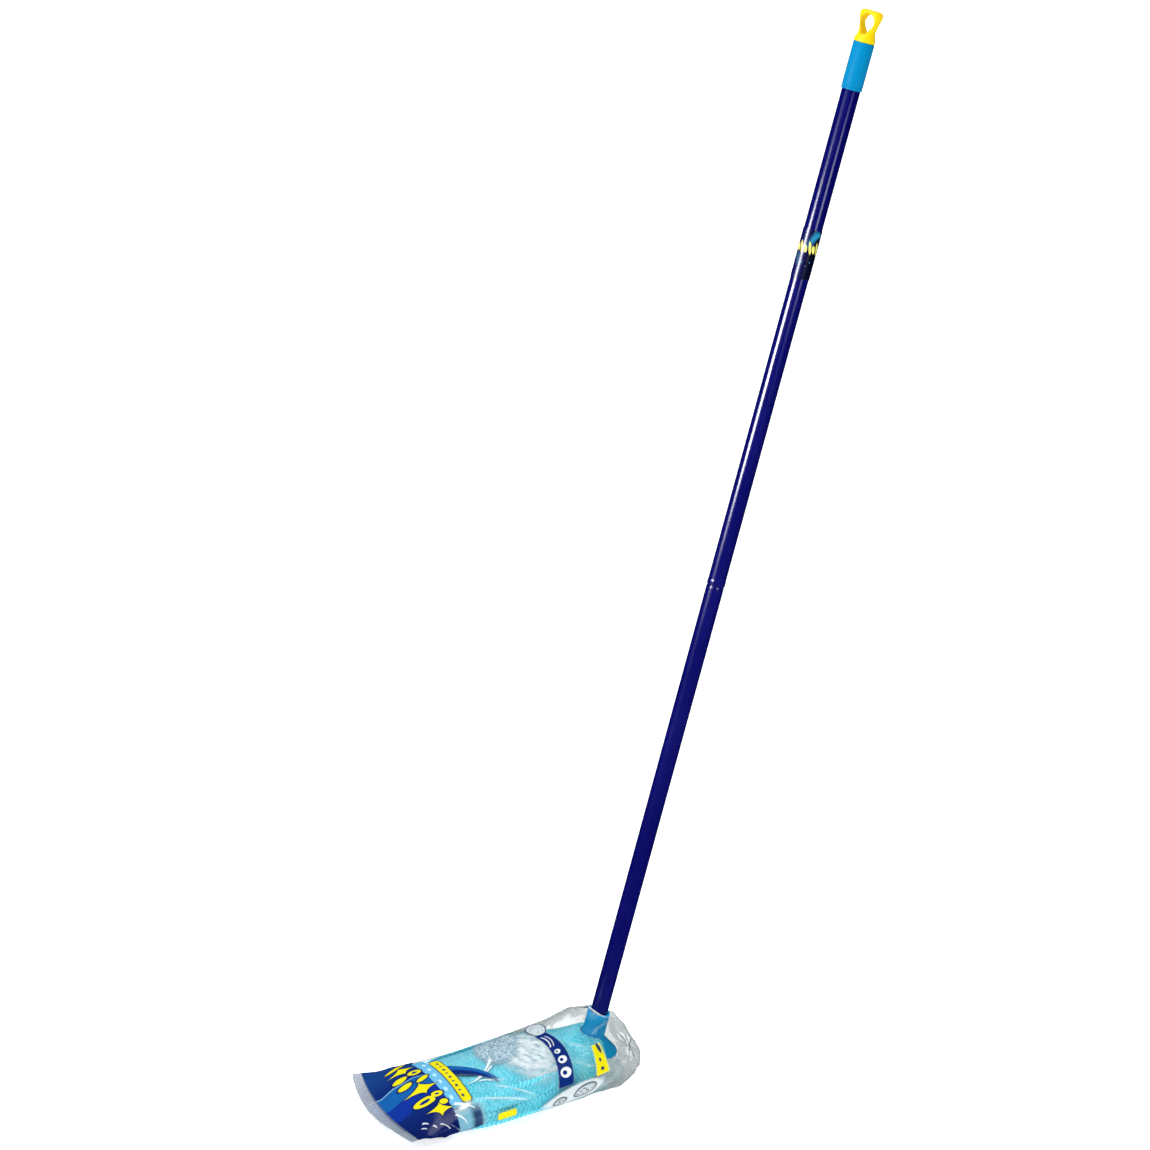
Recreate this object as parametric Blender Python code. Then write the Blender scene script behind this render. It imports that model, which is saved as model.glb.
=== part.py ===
"""Strip mop with a screw-in handle, its head still in a clear retail bag that lies on the floor.

Metres, +Z up. The floor is z = 0. The handle leans towards +X, and the bag points away from it, turned a
little towards -Y. Pieces of the handle and the socket are drawn along a leaning axis whose zero is the
socket's mouth. The bag and the strips are drawn in a level frame under the socket, whose +X runs along
the bag.
"""
import math

import bmesh
import bpy
from mathutils import Matrix, Vector

# The whole mop
LEAN = math.radians(13.95)  # handle from the vertical, towards +X
BAG_TURN = math.radians(204.0)  # the bag's long direction, about +Z from +X
RIM_HEIGHT = 0.042  # middle of the skirt's open end above the floor
SHIFT = Vector((-0.01535, 0.06881, 0.0))  # puts the origin under the middle of the whole mop
GAP = 0.0003  # left between pieces that touch

# Handle, as distances above the socket's mouth
TUBE_R = 0.011
TUBE_WALL = 0.0006
TUBE_BOTTOM = -0.006
JOINT_Z = 0.584
SPIGOT_LENGTH = 0.050
SPIGOT_R = TUBE_R - TUBE_WALL - GAP
BEAD = 0.0003  # how far the upper tube's rolled end stands out
GRIP_BOTTOM, GRIP_TOP = 1.199, 1.254
GRIP_R = 0.0125
CAP_HEIGHT = 0.037
CAP_TURN = math.radians(-42.0)
CAP_PLUG = 0.028
CAP_HOLE = ((0.0239, 0.0096), (0.0133, 0.0048))  # upper and lower end: height above the grip, radius
LABEL_BOTTOM, LABEL_TOP = 0.973, 1.032
LABEL_THICK = 0.0002
TIP_PLUG = 0.022

# Screw thread that the tip and the socket share
PITCH = 0.005
THREAD_CORE_R = 0.0095
THREAD_DEPTH = 0.0012
THREAD_CLEARANCE = 0.0004
THREAD_TOP, THREAD_BOTTOM = -0.0095, -0.0310
THREAD_FADE = 0.0015
THREAD_PHASES = ((0.00, 0.0), (0.30, 0.0), (0.50, 1.0), (0.80, 1.0))  # part of a turn, height

# Socket
COLLAR_R = 0.0144
COLLAR_LENGTH = 0.032
RIM_R = 0.036
RIM_Z = -0.0505
SKIRT_WALL = 0.002
BOSS_R, BOSS_BORE_R = 0.007, 0.0045
BORE_R = 0.0115
WEB_TOP, WEB_BOTTOM = -0.033, -0.036

# Clamp plug
CLAMP_R = 0.017
CLAMP_TOP, CLAMP_BOTTOM = -0.0465, -0.0495
STUD_R = 0.0041

# Bag, as distances along it from under the socket: place, offset to the near side, half width, underside, top
FILM_STATIONS = (
    (-0.054, -0.002, 0.036, 0.018, 0.046),
    (-0.050, -0.001, 0.048, 0.012, 0.062),
    (-0.038, 0.001, 0.061, 0.004, 0.078),
    (-0.020, 0.002, 0.070, 0.0, 0.089),
    (0.008, 0.004, 0.073, 0.0, 0.091),
    (0.040, 0.007, 0.0755, 0.0, 0.083),
    (0.070, 0.010, 0.078, 0.0, 0.077),
    (0.098, 0.012, 0.080, 0.0, 0.072),
    (0.125, 0.012, 0.081, 0.0, 0.066),
    (0.180, 0.011, 0.083, 0.0, 0.056),
    (0.216, 0.008, 0.086, 0.0, 0.050),
    (0.240, 0.005, 0.090, 0.001, 0.044),
    (0.258, 0.002, 0.094, 0.007, 0.033),
    (0.271, 0.000, 0.097, 0.0170, 0.0222),
    (0.288, 0.000, 0.0995, 0.0184, 0.0212),
)
SEAL_START = 0.240  # from here the end bows out and sags towards the middle of the seal
SEAL_BOW, SEAL_SAG = 0.013, 0.006
FILM_WALL = 0.0008
FILM_SIDES = 28
FILM_MIDDLE = 0.42  # widest level, as a share of the height
FILM_BELLY = 0.50  # how far the round underside would reach below that level if the floor let it
SEAL_LENGTH = 0.014
FILM_HOLE_R = 0.0165

# Strips
STRIPS = 14
STRIP_GAP = 0.0014
STRIP_CORE = 0.24  # inner end of a strip's share, as a part of the bundle's radius
STRIP_FLOOR = 0.0018
STRIP_TOP_INSET, STRIP_SIDE_INSET = 0.0045, 0.0070  # the bundle inside the bag's outer face
STRIP_END = 0.236
STRIP_ROUNDING = 0.008  # how far from their ends the strips start to draw in
FAN_DROP = 0.0065  # the bend's pivot below the skirt's rim
FAN_NEAR = 0.004  # the bundle's inner side from that pivot
FAN_STEPS = 6
FAN_HALF_WIDTHS = (0.031, 0.058)  # at the start and the end of the bend
FAN_OFFSET = 0.006  # to the near side at the end of the bend

ROUND = 32


def material(name, colour, roughness, metallic=0.0, alpha=1.0):
    """A Principled material in one colour."""
    mat = bpy.data.materials.new(name)
    mat.use_nodes = True
    shader = mat.node_tree.nodes["Principled BSDF"]
    shader.inputs["Base Color"].default_value = (*colour, 1.0)
    shader.inputs["Roughness"].default_value = roughness
    shader.inputs["Metallic"].default_value = metallic
    shader.inputs["Alpha"].default_value = alpha
    mat.diffuse_color = (*colour, alpha)
    return mat


def empty(name, parent, location, rotation):
    """A frame that pieces are placed in."""
    frame = bpy.data.objects.new(name, None)
    bpy.context.collection.objects.link(frame)
    frame.parent = parent
    frame.location = location
    frame.rotation_euler = rotation
    return frame


def add_object(name, bm, parent, mat):
    """A mesh object from bm, smooth except at sharp edges."""
    bmesh.ops.remove_doubles(bm, verts=bm.verts, dist=1e-6)
    bmesh.ops.dissolve_degenerate(bm, dist=1e-6, edges=bm.edges)
    bmesh.ops.recalc_face_normals(bm, faces=bm.faces)
    if bm.calc_volume(signed=True) < 0:
        bmesh.ops.reverse_faces(bm, faces=bm.faces)
    mesh = bpy.data.meshes.new(name)
    bm.to_mesh(mesh)
    bm.free()
    mesh.shade_smooth()
    mesh.set_sharp_from_angle(angle=math.radians(35))
    obj = bpy.data.objects.new(name, mesh)
    bpy.context.collection.objects.link(obj)
    obj.parent = parent
    if mat is not None:
        mesh.materials.append(mat)
    return obj


def ring(bm, radius, z, sides=ROUND):
    """One level circle of vertices about the local Z axis."""
    turn = 2 * math.pi / sides
    return [bm.verts.new((radius * math.cos(i * turn), radius * math.sin(i * turn), z)) for i in range(sides)]


def bridge(bm, lower, upper):
    """Quads between two rings with the same number of vertices."""
    count = len(lower)
    for i in range(count):
        j = (i + 1) % count
        bm.faces.new((lower[i], lower[j], upper[j], upper[i]))


def turned_solid(name, profile, parent, mat):
    """A solid of revolution, capped flat at both ends of its profile of (radius, z) points."""
    bm = bmesh.new()
    rings = [ring(bm, radius, z) for radius, z in profile]
    for lower, upper in zip(rings, rings[1:]):
        bridge(bm, lower, upper)
    bm.faces.new(rings[0])
    bm.faces.new(rings[-1])
    return add_object(name, bm, parent, mat)


def turned_shell(name, profile, parent, mat):
    """A hollow of revolution from a closed profile of (radius, z) points."""
    bm = bmesh.new()
    rings = [ring(bm, radius, z) for radius, z in profile]
    for lower, upper in zip(rings, rings[1:] + rings[:1]):
        bridge(bm, lower, upper)
    return add_object(name, bm, parent, mat)


def thread_columns(bm, low, high, offset, open_top):
    """Columns of vertices that follow the helix between two heights, clamped level at each end.

    The thread fades out at both ends, to its core or, at an open top, to its full radius.
    Crossing from the last column to the first climbs one turn, so each column's list is
    len(THREAD_PHASES) longer at both ends than the thread itself needs.
    """
    top_height = 1.0 if open_top else 0.0
    first = math.floor((low - THREAD_BOTTOM) / PITCH) - 1
    last = math.ceil((high - THREAD_BOTTOM) / PITCH)
    columns = []
    for i in range(ROUND):
        angle = 2 * math.pi * i / ROUND
        column = []
        for turn in range(first, last + 1):
            for phase, height in THREAD_PHASES:
                z = min(max(THREAD_BOTTOM + PITCH * (turn + phase + i / ROUND), low), high)
                depth = height * min((z - low) / THREAD_FADE, 1.0)
                near_top = 1.0 - min((high - z) / THREAD_FADE, 1.0)
                depth += (top_height - depth) * near_top
                radius = THREAD_CORE_R + offset + THREAD_DEPTH * depth
                column.append(bm.verts.new((radius * math.cos(angle), radius * math.sin(angle), z)))
        columns.append(column)
    return columns


def bridge_thread(bm, columns):
    """Quads between neighbouring columns, one turn higher where the last meets the first."""
    step = len(THREAD_PHASES)
    for i, column in enumerate(columns):
        last = i == len(columns) - 1
        neighbour = columns[0][step:] if last else columns[i + 1]
        rows = min(len(column), len(neighbour)) - 1
        for row in range(rows):
            corners = (column[row], neighbour[row], neighbour[row + 1], column[row + 1])
            bm.faces.new(corners)


def thread_surface(bm, low, high, offset, open_top=False):
    """The threaded wall as faces. Its clamped ends close up when doubles are removed."""
    bridge_thread(bm, thread_columns(bm, low, high, offset, open_top))


def make_thread_tip(parent, mat):
    """The insert in the tube's end: a plug up into the tube, a shoulder and the male thread."""
    bm = bmesh.new()
    thread_surface(bm, THREAD_BOTTOM, THREAD_TOP, 0.0)
    shoulder = TUBE_BOTTOM - GAP
    plug_r = TUBE_R - TUBE_WALL - GAP
    above = ((THREAD_CORE_R, THREAD_TOP), (THREAD_CORE_R, THREAD_TOP + 0.0012), (TUBE_R, THREAD_TOP + 0.0018),
             (TUBE_R, shoulder), (plug_r, shoulder), (plug_r, TIP_PLUG - 0.001), (plug_r - 0.001, TIP_PLUG))
    rings = [ring(bm, radius, z) for radius, z in above]
    for lower, upper in zip(rings, rings[1:]):
        bridge(bm, lower, upper)
    bm.faces.new(rings[-1])
    below = [ring(bm, THREAD_CORE_R - 0.0012, THREAD_BOTTOM - 0.0012), ring(bm, THREAD_CORE_R, THREAD_BOTTOM)]
    bridge(bm, below[0], below[1])
    bm.faces.new(below[0])
    return add_object("thread_tip", bm, parent, mat)


def make_handle(axis, mats):
    """Everything that turns out of the socket as one."""
    inner = TUBE_R - TUBE_WALL
    lower = ((TUBE_R, TUBE_BOTTOM), (TUBE_R, JOINT_Z - 0.003), (SPIGOT_R, JOINT_Z),
             (SPIGOT_R, JOINT_Z + SPIGOT_LENGTH), (SPIGOT_R - TUBE_WALL, JOINT_Z + SPIGOT_LENGTH),
             (SPIGOT_R - TUBE_WALL, JOINT_Z - 0.001), (inner, JOINT_Z - 0.004), (inner, TUBE_BOTTOM))
    turned_shell("lower_tube", lower, axis, mats["tube"])
    top = GRIP_TOP - 0.001
    upper = ((TUBE_R + BEAD, JOINT_Z + GAP), (TUBE_R + BEAD, JOINT_Z + 0.006), (TUBE_R, JOINT_Z + 0.008),
             (TUBE_R, top), (inner, top), (inner, JOINT_Z + GAP))
    turned_shell("upper_tube", upper, axis, mats["tube"])
    bore = TUBE_R + GAP
    grip = ((GRIP_R - 0.0006, GRIP_BOTTOM), (GRIP_R, GRIP_BOTTOM + 0.0008), (GRIP_R, GRIP_TOP - 0.0008),
            (GRIP_R - 0.0006, GRIP_TOP), (bore, GRIP_TOP), (bore, GRIP_BOTTOM))
    turned_shell("grip_sleeve", grip, axis, mats["grip"])
    label_r = bore + LABEL_THICK
    label = ((label_r, LABEL_BOTTOM), (label_r, LABEL_TOP), (bore, LABEL_TOP), (bore, LABEL_BOTTOM))
    turned_shell("tube_label", label, axis, mats["label"])
    make_thread_tip(axis, mats["tip"])
    make_hanger_cap(axis, mats["cap"])


def oval_ring(bm, half_x, half_y, z, power):
    """A level ring that is round at power 2 and squarer above it."""
    verts = []
    for i in range(ROUND):
        angle = 2 * math.pi * i / ROUND
        c, s = math.cos(angle), math.sin(angle)
        x = half_x * math.copysign(abs(c) ** (2 / power), c)
        y = half_y * math.copysign(abs(s) ** (2 / power), s)
        verts.append(bm.verts.new((x, y, z)))
    return verts


def make_hanger_cap(axis, mat):
    """The loop at the handle's top, its plug inside the tube, and the hole it hangs by."""
    seat = GRIP_TOP + GAP
    plug_r = TUBE_R - TUBE_WALL - GAP
    levels = (
        (plug_r - 0.001, plug_r - 0.001, -CAP_PLUG, 2.0),
        (plug_r, plug_r, 0.001 - CAP_PLUG, 2.0),
        (plug_r, plug_r, 0.0, 2.0),
        (GRIP_R, GRIP_R, 0.0, 2.0),
        (GRIP_R, GRIP_R, 0.0035, 2.0),
        (GRIP_R - 0.0006, GRIP_R - 0.001, 0.0050, 2.0),
        (0.0107, 0.0096, 0.0090, 2.1),
        (0.0102, 0.0086, 0.0130, 2.2),
        (0.0110, 0.0083, 0.0180, 2.4),
        (0.0124, 0.0082, 0.0235, 2.6),
        (0.0138, 0.0081, 0.0285, 2.8),
        (0.0145, 0.0079, 0.0320, 2.8),
        (0.0140, 0.0074, 0.0345, 2.8),
        (0.0122, 0.0062, 0.0363, 2.8),
        (0.0090, 0.0042, CAP_HEIGHT, 2.8),
    )
    bm = bmesh.new()
    rings = [oval_ring(bm, half_x, half_y, z, power) for half_x, half_y, z, power in levels]
    for lower, upper in zip(rings, rings[1:]):
        bridge(bm, lower, upper)
    bm.faces.new(rings[0])
    bm.faces.new(rings[-1])
    cap = add_object("hanger_cap", bm, axis, mat)
    cap.location = (0.0, 0.0, seat)
    cap.rotation_euler = (0.0, 0.0, CAP_TURN)
    cut(cap, make_hole_cutter(cap))


def make_hole_cutter(cap):
    """A bar across the cap for its hanging hole: two round ends, the upper one wider, and straight sides."""
    (high, high_r), (low, low_r) = CAP_HOLE
    arc_steps, reach = 8, 0.02
    slope = math.asin((high_r - low_r) / (high - low))
    arcs = (
        (high, high_r, -slope, math.pi + slope),
        (low, low_r, math.pi + slope, 2 * math.pi - slope),
    )
    bm = bmesh.new()
    ends = []
    for y in (-reach, reach):
        outline = []
        for middle, radius, start, end in arcs:
            for i in range(arc_steps + 1):
                angle = start + (end - start) * i / arc_steps
                outline.append(bm.verts.new((radius * math.cos(angle), y, middle + radius * math.sin(angle))))
        ends.append(outline)
        bm.faces.new(outline)
    bridge(bm, ends[0], ends[1])
    return add_object("hanging_hole_cutter", bm, cap, None)


def cut(obj, cutter):
    """Takes the cutter's shape out of obj."""
    cutter.hide_render = True
    cutter.display_type = "WIRE"
    boolean = obj.modifiers.new(cutter.name, "BOOLEAN")
    boolean.operation = "DIFFERENCE"
    boolean.object = cutter


def make_socket(axis, mat):
    """Collar with the female thread, web, boss and conical skirt, as one moulding."""
    bm = bmesh.new()
    bore_low, bore_high = WEB_TOP + 0.0006, THREAD_TOP + 0.0008
    clearance_r = THREAD_CORE_R + THREAD_CLEARANCE
    thread_surface(bm, bore_low, bore_high, THREAD_CLEARANCE, open_top=True)
    outside = ((clearance_r + THREAD_DEPTH, bore_high), (BORE_R, bore_high + 0.0006), (BORE_R, -0.0008),
               (BORE_R + 0.0008, 0.0), (COLLAR_R - 0.0006, 0.0), (COLLAR_R, -0.0006),
               (COLLAR_R + 0.0002, -COLLAR_LENGTH),
               (COLLAR_R + 0.0016, -COLLAR_LENGTH - 0.0018), (RIM_R, RIM_Z + 0.002), (RIM_R, RIM_Z),
               (RIM_R - SKIRT_WALL, RIM_Z), (RIM_R - SKIRT_WALL, RIM_Z + 0.0012),
               (COLLAR_R - 0.001, WEB_BOTTOM), (BOSS_R, WEB_BOTTOM), (BOSS_R, WEB_BOTTOM - 0.006),
               (BOSS_BORE_R, WEB_BOTTOM - 0.006), (BOSS_BORE_R, WEB_BOTTOM + 0.001))
    rings = [ring(bm, radius, z) for radius, z in outside]
    for one, other in zip(rings, rings[1:]):
        bridge(bm, one, other)
    bm.faces.new(rings[-1])
    floor = [ring(bm, clearance_r, bore_low), ring(bm, clearance_r - 0.0006, WEB_TOP)]
    bridge(bm, floor[0], floor[1])
    bm.faces.new(floor[1])
    return add_object("socket", bm, axis, mat)


def make_clamp_plug(axis, mat):
    """The disc under the web, with the stud that snaps into the boss."""
    stud_top = WEB_BOTTOM + 0.001 - GAP
    profile = ((CLAMP_R - 0.001, CLAMP_BOTTOM), (CLAMP_R, CLAMP_BOTTOM + 0.001), (CLAMP_R, CLAMP_TOP),
               (STUD_R, CLAMP_TOP), (STUD_R, stud_top - 0.001), (STUD_R - 0.001, stud_top))
    return turned_solid("clamp_plug", profile, axis, mat)


def film_size(place):
    """The bag's offset, half width, underside and top at a place along it."""
    for (s0, *from_size), (s1, *to_size) in zip(FILM_STATIONS, FILM_STATIONS[1:]):
        if place <= s1:
            t = max((place - s0) / (s1 - s0), 0.0)
            return [a + (b - a) * t for a, b in zip(from_size, to_size)]
    return FILM_STATIONS[-1][1:]


def film_ring(bm, place, inset):
    """One section of the bag, flat where it rests on the floor and bowed near the seal."""
    offset, half_width, low, high = film_size(place)
    height = high - low
    seal_share = max((place - SEAL_START) / (FILM_STATIONS[-1][0] - SEAL_START), 0.0)
    verts = []
    for i in range(FILM_SIDES):
        angle = 2 * math.pi * (i + 0.5) / FILM_SIDES
        middle = FILM_MIDDLE * height
        reach = height - middle if math.sin(angle) > 0 else FILM_BELLY * height
        z = max(middle + (reach - inset) * math.sin(angle), inset)
        middle_share = seal_share * math.sin(angle) ** 2
        x = place + SEAL_BOW * middle_share
        y = offset + (half_width - inset) * math.cos(angle)
        verts.append(bm.verts.new((x, y, low + z - SEAL_SAG * middle_share)))
    return verts


def film_loft(name, places, inset, frame, mat):
    """The bag's outer or inner shape through the given places."""
    bm = bmesh.new()
    rings = [film_ring(bm, place, inset) for place in places]
    for one, other in zip(rings, rings[1:]):
        bridge(bm, one, other)
    bm.faces.new(rings[0])
    bm.faces.new(rings[-1])
    return add_object(name, bm, frame, mat)


def make_bag_film(frame, axis, mat):
    """The bag as one thin skin, solid at its sealed end, with the hole that the collar stands in."""
    places = [station[0] for station in FILM_STATIONS]
    film = film_loft("bag_film", places, 0.0, frame, mat)
    inner_end = places[-1] - SEAL_LENGTH
    inner = [places[0] + FILM_WALL] + [s for s in places[1:] if s < inner_end] + [inner_end]
    cut(film, film_loft("bag_inside", inner, FILM_WALL, frame, None))
    hole = turned_solid("bag_hole", ((FILM_HOLE_R, -0.030), (FILM_HOLE_R, 0.040)), axis, None)
    cut(film, hole)


def strip_outline(index):
    """One strip's share of the bundle: points in a unit disc, each with its side's inward direction."""
    start = 2 * math.pi * index / STRIPS
    share = 2 * math.pi / STRIPS
    arc = 3
    outline = []
    for i in range(arc + 1):
        angle = start + share * i / arc
        outline.append((1.0, angle, 1 if i == 0 else -1 if i == arc else 0))
    outline.append((STRIP_CORE, start + share, -1))
    outline.append((STRIP_CORE, start, 1))
    return outline


def inset_point(radius, angle, side, inset):
    """A unit-disc point moved off its strip's side, so that neighbours keep a gap."""
    x = radius * math.cos(angle) - side * inset * math.sin(angle)
    y = radius * math.sin(angle) + side * inset * math.cos(angle)
    return x, y


def socket_section(to_bag, inner_r, outer_r, z):
    """A section inside the skirt: an annulus about the leaning axis, as a function of a unit-disc point."""
    up_bag = to_bag.to_3x3().inverted() @ Vector((1.0, 0.0, 0.0))
    along = Vector((up_bag.x, up_bag.y, 0.0)).normalized()
    across = Vector((-along.y, along.x, 0.0))

    def place(radius, angle, side):
        share = (radius - STRIP_CORE) / (1 - STRIP_CORE)
        r = inner_r + (outer_r - inner_r) * share
        inset = 0.5 * STRIP_GAP / r
        x, y = inset_point(1.0, angle, side, inset)
        return to_bag @ (across * (r * x) + along * (r * y) + Vector((0.0, 0.0, z)))

    return place


def fan_section(pivot, turn, near, far, half_width, offset):
    """A section of the bend, in a plane through the pivot line, turn below the level."""
    outward = Vector((-math.cos(turn), 0.0, -math.sin(turn)))
    half = (far - near) / 2
    middle = pivot + outward * (near + half) + Vector((0.0, offset, 0.0))
    inset = 0.5 * STRIP_GAP / min(half, half_width)

    def place(radius, angle, side):
        x, y = inset_point(radius, angle, side, inset)
        return middle + Vector((0.0, half_width * x, 0.0)) - outward * (half * y)

    return place


def level_section(place_along, offset, half_width, low, high):
    """An upright section of the bundle where it lies along the bag."""
    half = (high - low) / 2
    inset = 0.5 * STRIP_GAP / min(half, half_width)

    def place(radius, angle, side):
        x, y = inset_point(radius, angle, side, inset)
        return Vector((place_along, offset + half_width * x, low + half + half * y))

    return place


def bundle_sections(to_bag):
    """The bundle's sections from inside the skirt, round the bend and along the bag."""
    sections = [
        socket_section(to_bag, 0.0085, 0.0215, -0.0440),
        socket_section(to_bag, CLAMP_R + 0.0013, 0.0250, CLAMP_TOP + 0.0006),
        socket_section(to_bag, CLAMP_R + 0.0013, 0.0300, CLAMP_BOTTOM - 0.0006),
    ]
    down = to_bag.to_3x3() @ Vector((0.0, 0.0, -1.0))
    start = math.atan2(down.x, -down.z)
    rim = to_bag @ Vector((0.0, 0.0, RIM_Z))
    pivot = rim + down * FAN_DROP + Vector((math.cos(start), 0.0, math.sin(start))) * (RIM_R + 0.0015)
    pivot.y = 0.0
    near, widest = FAN_NEAR, 2 * RIM_R - 0.003
    for i in range(FAN_STEPS + 1):
        share = i / FAN_STEPS
        turn = start + (math.pi / 2 - start) * share
        far = min(widest, (pivot.z - STRIP_FLOOR) / math.sin(turn))
        half_width = FAN_HALF_WIDTHS[0] + (FAN_HALF_WIDTHS[1] - FAN_HALF_WIDTHS[0]) * share
        sections.append(fan_section(pivot, turn, near, far, half_width, FAN_OFFSET * share))
    for place in (0.070, 0.125, 0.180, 0.216, STRIP_END - STRIP_ROUNDING, STRIP_END):
        offset, half_width, low, high = film_size(place)
        end_in = STRIP_ROUNDING / 2 if place == STRIP_END else 0.0
        low += STRIP_FLOOR + end_in
        high -= STRIP_TOP_INSET + end_in
        half_width -= STRIP_SIDE_INSET + end_in
        sections.append(level_section(place, offset, half_width, low, high))
    return sections


def skin_strip(bm, one, other):
    """Triangles between two outlines of a strip, split so that neighbouring strips' sides match."""
    count = len(one)
    for i in range(count):
        j = (i + 1) % count
        if j == 0:
            bm.faces.new((one[i], one[j], other[i]))
            bm.faces.new((one[j], other[j], other[i]))
        else:
            bm.faces.new((one[i], one[j], other[j]))
            bm.faces.new((one[i], other[j], other[i]))


def make_strips(frame, to_bag, mats):
    """Each strip as one plain sweep through its share of every section."""
    sections = bundle_sections(to_bag)
    for index in range(STRIPS):
        outline = strip_outline(index)
        bm = bmesh.new()
        rings = [[bm.verts.new(section(*point)) for point in outline] for section in sections]
        for one, other in zip(rings, rings[1:]):
            skin_strip(bm, one, other)
        bm.faces.new(rings[0])
        bm.faces.new(rings[-1])
        mat = mats["strip_white"] if index % 4 == 1 else mats["strip_blue"]
        add_object(f"strip_{index + 1:02d}", bm, frame, mat)


def make_materials():
    """One material for each kind of piece."""
    return {
        "cap": material("yellow_plastic", (0.97, 0.80, 0.001), 0.35),
        "grip": material("light_blue_plastic", (0.0, 0.34, 0.71), 0.40),
        "tube": material("navy_coated_steel", (0.0005, 0.0008, 0.12), 0.25, metallic=0.1),
        "label": material("printed_decal", (0.003, 0.006, 0.05), 0.30),
        "tip": material("grey_plastic", (0.25, 0.27, 0.29), 0.50),
        "socket": material("socket_plastic", (0.004, 0.29, 0.52), 0.40),
        "strip_blue": material("blue_microfibre", (0.10, 0.52, 0.66), 0.95),
        "strip_white": material("white_microfibre", (0.75, 0.82, 0.84), 0.95),
        "film": material("printed_film", (0.55, 0.66, 0.70), 0.15, alpha=0.35),
    }


def main():
    for obj in list(bpy.data.objects):
        bpy.data.objects.remove(obj, do_unlink=True)
    mats = make_materials()
    lean_axis = Vector((math.sin(LEAN), 0.0, math.cos(LEAN)))
    rim = Vector((0.0, 0.0, RIM_HEIGHT))
    mouth = rim - lean_axis * RIM_Z
    mop = empty("mop", None, SHIFT, (0.0, 0.0, 0.0))
    head = empty("head_axis", mop, mouth, (0.0, LEAN, 0.0))
    handle = empty("handle_axis", mop, mouth, (0.0, LEAN, 0.0))
    bag = empty("bag_frame", mop, (0.0, 0.0, 0.0), (0.0, 0.0, BAG_TURN))
    to_world = Matrix.Translation(mouth) @ Matrix.Rotation(LEAN, 4, "Y")
    to_bag = Matrix.Rotation(BAG_TURN, 4, "Z").inverted() @ to_world
    make_handle(handle, mats)
    make_socket(head, mats["socket"])
    make_clamp_plug(head, mats["tip"])
    make_strips(bag, to_bag, mats)
    make_bag_film(bag, head, mats["film"])


main()
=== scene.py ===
"""Looks for the strip mop: a screw-in handle whose strip head is still in its printed retail bag.

Every size is in metres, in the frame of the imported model. The handle and the socket are drawn along a
leaning axis whose zero is the socket's mouth. The bag and the strips are drawn in a level frame under the
socket, whose +X runs along the bag and whose +Y points to the near side.
"""
import math

import bmesh
import bpy
import numpy as np
from mathutils import Matrix, Vector, noise


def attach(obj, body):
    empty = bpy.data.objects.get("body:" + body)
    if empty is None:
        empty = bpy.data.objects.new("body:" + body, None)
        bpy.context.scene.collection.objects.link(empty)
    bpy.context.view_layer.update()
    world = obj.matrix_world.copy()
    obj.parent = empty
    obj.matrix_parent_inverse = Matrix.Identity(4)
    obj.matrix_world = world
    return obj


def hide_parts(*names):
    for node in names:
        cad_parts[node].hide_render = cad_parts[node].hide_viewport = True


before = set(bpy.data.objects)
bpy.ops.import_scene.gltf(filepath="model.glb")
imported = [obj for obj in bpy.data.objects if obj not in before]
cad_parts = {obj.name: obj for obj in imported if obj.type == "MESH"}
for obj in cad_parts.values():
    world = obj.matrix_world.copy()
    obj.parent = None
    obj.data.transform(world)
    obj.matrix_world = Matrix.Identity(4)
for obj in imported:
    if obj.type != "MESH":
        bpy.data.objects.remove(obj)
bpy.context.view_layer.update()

# Frames of the model
LEAN = math.radians(13.95)
BAG_TURN = math.radians(204.0)
RIM_HEIGHT = 0.042
SHIFT = Vector((-0.01535, 0.06881, 0.0))
RIM_Z = -0.0505
LEAN_AXIS = Vector((math.sin(LEAN), 0.0, math.cos(LEAN)))
MOUTH = SHIFT + Vector((0.0, 0.0, RIM_HEIGHT)) - LEAN_AXIS * RIM_Z
AXIS = Matrix.Translation(MOUTH) @ Matrix.Rotation(LEAN, 4, "Y")
BAG = Matrix.Translation(SHIFT) @ Matrix.Rotation(BAG_TURN, 4, "Z")
AXIS_TO_BAG = BAG.inverted() @ AXIS

# Handle, as distances above the socket's mouth
GAP = 0.0003
TUBE_R, TUBE_WALL, TUBE_BOTTOM = 0.011, 0.0006, -0.006
JOINT_Z, SPIGOT_LENGTH, BEAD = 0.584, 0.050, 0.0003
PLUG_R = TUBE_R - TUBE_WALL - GAP  # of whatever goes into the tube
GRIP_BOTTOM, GRIP_TOP, GRIP_R = 1.199, 1.254, 0.0125
CAP_HEIGHT, CAP_PLUG, CAP_TURN = 0.037, 0.028, math.radians(-42.0)
CAP_HOLE = ((0.0239, 0.0096), (0.0133, 0.0048))  # upper and lower end: height above the grip, radius
LABEL_BOTTOM, LABEL_TOP, LABEL_THICK = 0.973, 1.032, 0.0002
TIP_PLUG = 0.022

# Screw thread that the tip and the socket share
PITCH, THREAD_CORE_R, THREAD_DEPTH, THREAD_CLEARANCE = 0.005, 0.0095, 0.0012, 0.0004
THREAD_TOP, THREAD_BOTTOM, THREAD_FADE = -0.0095, -0.0310, 0.0015
THREAD_PHASES = ((0.00, 0.0), (0.30, 0.0), (0.34, 0.12), (0.46, 0.88), (0.50, 1.0), (0.80, 1.0), (0.84, 0.88),
                 (0.96, 0.12))

# Socket
COLLAR_R, COLLAR_LENGTH, BORE_R = 0.0144, 0.032, 0.0115
RIM_R, SKIRT_WALL = 0.036, 0.002
BOSS_R, BOSS_BORE_R = 0.007, 0.0045
WEB_TOP, WEB_BOTTOM = -0.033, -0.036
CLAMP_R, CLAMP_TOP, CLAMP_BOTTOM = 0.017, -0.0465, -0.0495

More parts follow.
